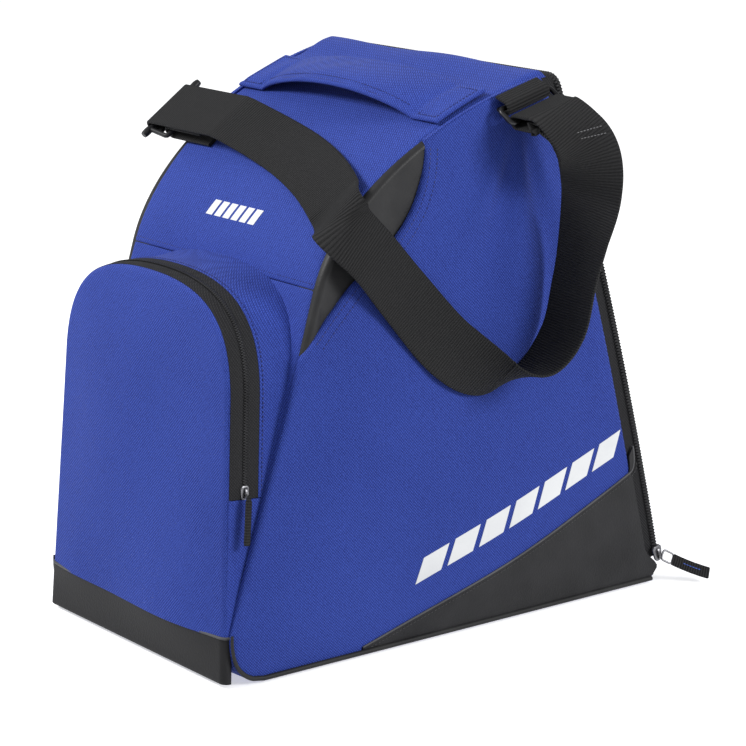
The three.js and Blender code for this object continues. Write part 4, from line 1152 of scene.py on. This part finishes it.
# ---------- Ring and adjuster ----------
# A dark wire ring hangs in a webbing tab from the near top seam. On the far side a black plastic
# bar buckle, with a knob at each end of its outer bar, hangs in a longer tab that lies on the top.
def crest_frame(y):
    """The crest's height at a y, the way along it to the rear and the way square out of it."""
    s = crest_at(y)
    back = -(along(CREST, s + 1) - along(CREST, s - 1)) / 2
    back = np.r_[0, back / np.linalg.norm(back)]
    return along(CREST, s)[1], back, np.array([0, -back[2], back[1]])


def square_to(axis, way):
    """A direction made square to an axis."""
    way = np.asarray(way, float)
    return unit(way - way @ axis * axis)


WEBBING_WIDE = 46
WEBBING_WALL = 2.4
FOLD_RADIUS = 4 * math.sqrt(0.5) + 0.8 + WEBBING_WALL / 2


def fold_path(bar, axis, away, low_tail, high_tail):
    """Webbing folded round a bar: a half turn of FOLD_RADIUS with a straight tail at each end."""
    low = unit(np.cross(axis, away))
    turn = np.linspace(0, np.pi, 13)[:, None]
    bend_round = bar + FOLD_RADIUS * (low * np.cos(turn) - away * np.sin(turn))
    step = np.linspace(0, 1, 8)[1:, None]
    return np.vstack([
        bend_round[0] + away * low_tail * step[::-1], bend_round, bend_round[-1] + away * high_tail * step])


black_metal = metal_finish("black_metal", (0.02, 0.02, 0.022), (0.06, 0.06, 0.062), 0.32)
RING_Y = 50
ring_z, ring_axis = crest_frame(RING_Y)[:2]
ring_out = square_to(ring_axis, (0.8, 0, -0.6))
ring_top = np.array([HALF_WIDTH * taper(RING_Y) + 8.5, RING_Y, ring_z - 8])
ring_low = ring_top + 15 * ring_out
ring_centre = (ring_top + ring_low) / 2
ring = wire_loop("strap_ring", ring_centre, ring_axis, ring_out, 54, 19, 3.0, 2.0, black_metal, "ring")
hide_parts("rear_ring")
tab_path = fold_path(ring_top, ring_axis, square_to(ring_axis, (-0.93, 0, 0.37)), 9, 7)
tab = swept("ring_tab_webbing", tab_path, ring_axis, flat_section(42, WEBBING_WALL), webbing, "root")
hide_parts("rear_tab")

ADJUSTER_Y = -58
adjuster_z, adjuster_axis, adjuster_up = crest_frame(ADJUSTER_Y)
adjuster_out = square_to(adjuster_axis, (-0.97, 0, 0.25))
adjuster_inner = np.array([-HALF_WIDTH * taper(ADJUSTER_Y) - 4, ADJUSTER_Y, adjuster_z]) + 8 * adjuster_up
adjuster_outer = adjuster_inner + 20 * adjuster_out
black_plastic = coated_finish("black_plastic", (0.012, 0.012, 0.013), (0.028, 0.028, 0.03), 0.4, 0.7, 0.06)
adjuster_centre = (adjuster_inner + adjuster_outer) / 2
adjuster = wire_loop("adjuster_frame", adjuster_centre, adjuster_axis, adjuster_out, 54, 24, 2.0, 2.0,
                     black_plastic, "adjuster")
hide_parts("front_adjuster")
knob_t = np.linspace(0, 1, 12)[:, None]
for name, way in (("rear", 1), ("front", -1)):
    path = adjuster_outer + adjuster_axis * way * (24 + 8.5 * knob_t)
    girth = 0.6 + 0.4 * np.sin(np.pi * (0.12 + 0.8 * knob_t[:, 0])) ** 0.5
    knob = swept(f"adjuster_knob_{name}", path, adjuster_out, round_section(3.1, 16), black_plastic,
                 "adjuster", scale=girth)
ACROSS = np.array([1.0, 0, 0])
tab = swept("adjuster_tab_webbing", fold_path(adjuster_inner, adjuster_axis, ACROSS, 48, 44), adjuster_axis,
            flat_section(WEBBING_WIDE - 3, WEBBING_WALL), webbing, "root")
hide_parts("front_tab")


# ---------- Shoulder strap ----------
# Ribbed black webbing, 46 mm wide. From its fold on the adjuster it crosses the brow, hangs down
# the near side and rises to its fold in the ring, where two rows of stitches hold it.
YOKE = (0.16, 0.32, 0.5, 0.7, 0.87, 1)
HANGING = (  # out from the side's cloth, y from the ring, share of the drop, way of the width
    (7, -138, 0.46, (-0.1, 0.77, 0.63)), (4, -106, 0.65, (0, 0.77, 0.63)),
    (8, -70, 0.86, (0.25, 0.72, 0.66)), (20, -32, 0.985, (0.75, 0.3, 0.5)),
    (24, -2, 0.96, (1, 0, 0.1)), (27, 19, 0.84, (1, 0, 0)),
    (31, 28, 0.65, (1, 0, 0)), (37, 31, 0.46, (1, 0.15, 0)), (46, 27, 0.28, (0.85, 0.5, 0)),
    (52, 18, 0.14, (0.45, 0.88, 0.1)), (49, 9, 0.05, (0.1, 0.95, 0.3)),
)
STRAP_DROP = 197


def through(points, t):
    """A centripetal Catmull-Rom curve: between two points a cubic whose end slopes come from the
    neighbours, each gap timed by the square root of its length. t counts points from 0."""
    points = np.asarray(points, float)
    points = np.vstack([2 * points[0] - points[1], points, 2 * points[-1] - points[-2]])
    gap = np.maximum(np.linalg.norm(np.diff(points, axis=0), axis=-1) ** 0.5, 1e-4)[:, None]
    i = np.clip(np.floor(t).astype(int), 0, len(points) - 4)
    a, b, c, d = (points[i + k] for k in range(4))
    p, q, r = (gap[i + k] for k in range(3))
    start = ((b - a) / p - (c - a) / (p + q) + (c - b) / q) * q
    end = ((c - b) / q - (d - b) / (q + r) + (d - c) / r) * q
    f = (t - i)[:, None]
    return b + start * f + (3 * (c - b) - 2 * start - end) * f**2 + (2 * (b - c) + start + end) * f**3


strap_away = square_to(ring_axis, (0.98, 0.1, 0))
rear_fold = fold_path(ring_low, ring_axis, strap_away, 10, 14)
front_fold = fold_path(adjuster_outer, adjuster_axis, ACROSS, 8, 74)
strap_start, strap_end = front_fold[-1] + 0.6 * ACROSS, rear_fold[-1] + 0.6 * strap_away
route, widths = [strap_start, strap_start + 6 * ACROSS], [adjuster_axis, adjuster_axis]
for f in YOKE:
    y = ADJUSTER_Y - 44 * f**2
    z, back, up = crest_frame(y)
    lift = 4 + (FOLD_RADIUS + 10) * max(0, 1 - f / 0.5) ** 2 + 5 * f**6
    x = strap_start[0] + (HALF_WIDTH * taper(y) + 2 - strap_start[0]) * f
    route.append(np.array([x, y, z]) + lift * up)
    widths.append(back)
for out, y, drop, width in HANGING:
    route.append(near_side(RING_Y + y, ring_low[2] - drop * STRAP_DROP, out))
    widths.append(np.array(width, float))
route += [strap_end + 5 * strap_away, strap_end]
widths += [ring_axis, ring_axis]
t = np.linspace(0, len(route) - 1, 420)
strap_middle, strap_width = through(route, t), through(widths, t)
LOWEST = 11  # the point of the route at the bottom of the hanging loop
split = round(LOWEST / (len(route) - 1) * 419)
strap_section = flat_section(WEBBING_WIDE, WEBBING_WALL)

front_path = np.vstack([front_fold[:-1], strap_middle[: split + 1]])
front_wide = np.vstack([np.tile(adjuster_axis, (len(front_fold) - 1, 1)), strap_width[: split + 1]])
front_strap = swept("shoulder_strap_front", front_path, front_wide, strap_section, webbing, None)
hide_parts("strap_front_end", "shoulder_strap")
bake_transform(front_strap)

under_way = unit(np.cross(ring_axis, strap_away))
leg = strap_middle[::-1]
leg = leg[travel(leg) < 52]
leg_wide = strap_width[::-1][: len(leg)]
leg_normal = framed(leg, leg_wide)[1]
leg_normal = leg_normal * np.sign(leg_normal[0] @ under_way)
gap_under = 2.7 + (2 * FOLD_RADIUS - 2.7) * (1 - smooth_step(travel(leg), 0, 26))
under = leg + gap_under[:, None] * leg_normal
turn_in = fold_path(ring_low, ring_axis, strap_away, 13, 14)[::-1]
near_path = np.vstack([strap_middle[split:-1], turn_in, under[3:]])
near_wide = np.vstack([strap_width[split:-1], np.tile(ring_axis, (len(turn_in), 1)), leg_wide[3:]])
near_strap = swept("shoulder_strap_near", near_path, near_wide, strap_section, webbing, None)
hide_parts("strap_rear_end", "shoulder_strap")
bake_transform(near_strap)
grey_thread = thread_finish("grey_thread", (0.12, 0.12, 0.125))
rows = []
for back in (29.0, 34.0):
    spot, way = along(leg, [back])[0], along(leg_wide, [travel(leg_wide)[-1] * back / travel(leg)[-1]])[0]
    normal = along(leg_normal, [travel(leg_normal)[-1] * back / travel(leg)[-1]])[0]
    rows.append(spot - unit(normal) * (WEBBING_WALL / 2) + np.linspace(-20, 20, 40)[:, None] * unit(way))
strap_rows = stitch_row("strap_stitches", rows, grey_thread, None, 2.6, 2.0, 0.4)
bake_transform(strap_rows)


# ---------- Printed bars ----------
# A plain mark of slanted white bars, printed above the corner patch on each side and, smaller, on
# the upper front panel. It is a thin film that follows the cloth.
white_print = coated_finish("white_print", (0.72, 0.73, 0.75), (0.82, 0.83, 0.84), 0.6, 1.3, 0.12)


def bars(name, start, way, lean, sizes, surface):
    """Slanted bars in a row: each is a grid of its width along way and its height along lean,
    sent on to the cloth by surface(flat, lift) for its upper and its lower face."""
    u, v = np.meshgrid(np.linspace(0, 1, 9), np.linspace(0, 1, 13), indexing="ij")
    blocks, quads, count = [], [], u.size
    reached = 0.0
    index = np.arange(count).reshape(u.shape)
    rim = np.r_[index[0, :-1], index[:-1, -1], index[-1, :0:-1], index[:0:-1, 0]]
    ahead, face = np.roll(rim, -1), cells(*u.shape)
    one = np.vstack([face, face[:, ::-1] + count, np.stack([rim, ahead, ahead + count, rim + count], -1)])
    for number, (wide, tall, gap) in enumerate(sizes):
        flat = start + (reached + u[..., None] * wide) * way + v[..., None] * tall * lean
        blocks += [surface(flat, 0.32).reshape(-1, 3), surface(flat, -0.35).reshape(-1, 3)]
        quads.append(one + number * 2 * count)
        reached += wide + gap
    film = place_mesh(name, np.vstack(blocks), np.vstack(quads), white_print)
    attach(film, "root")


def on_near_side(flat, lift):
    """Points on the near side's cloth."""
    return near_side(flat[..., 0], flat[..., 1], lift)


def on_far_side(flat, lift):
    """Points on the far side's cloth."""
    return mirrored(on_near_side(flat, lift), -1)


side_way = unit(np.array([197.0, 66]))
side_lean = unit(np.array([0.35, 1.0]))
side_sizes = [(24, 21 + 0.2 * k, 6) for k in range(7)]
for name, surface in (("near", on_near_side), ("far", on_far_side)):
    bars(f"side_bars_{name}", np.array([-44.0, 47]), side_way, side_lean, side_sizes, surface)


def on_top_cloth(flat, lift):
    """Points on the upper front panel: across the bag, and down from the brow seam along it."""
    x, s = flat[..., 0], travel(CREST)[-1] - flat[..., 1]
    rise = wrap_rise(x, s, TOP_START, TOP_END) + lift
    spot = along(CREST, s.ravel()) - rise.ravel()[:, None] * left_of(CREST, s.ravel())
    return np.stack([x.ravel() * taper(spot[:, 0]), *spot.T], -1).reshape(*x.shape, 3)


front_lean = unit(np.array([0.32, 1.0]))
bars("front_bars", np.array([-38.0, 34]), np.array([1.0, 0]), front_lean, [(8, 13, 3)] * 6, on_top_cloth)
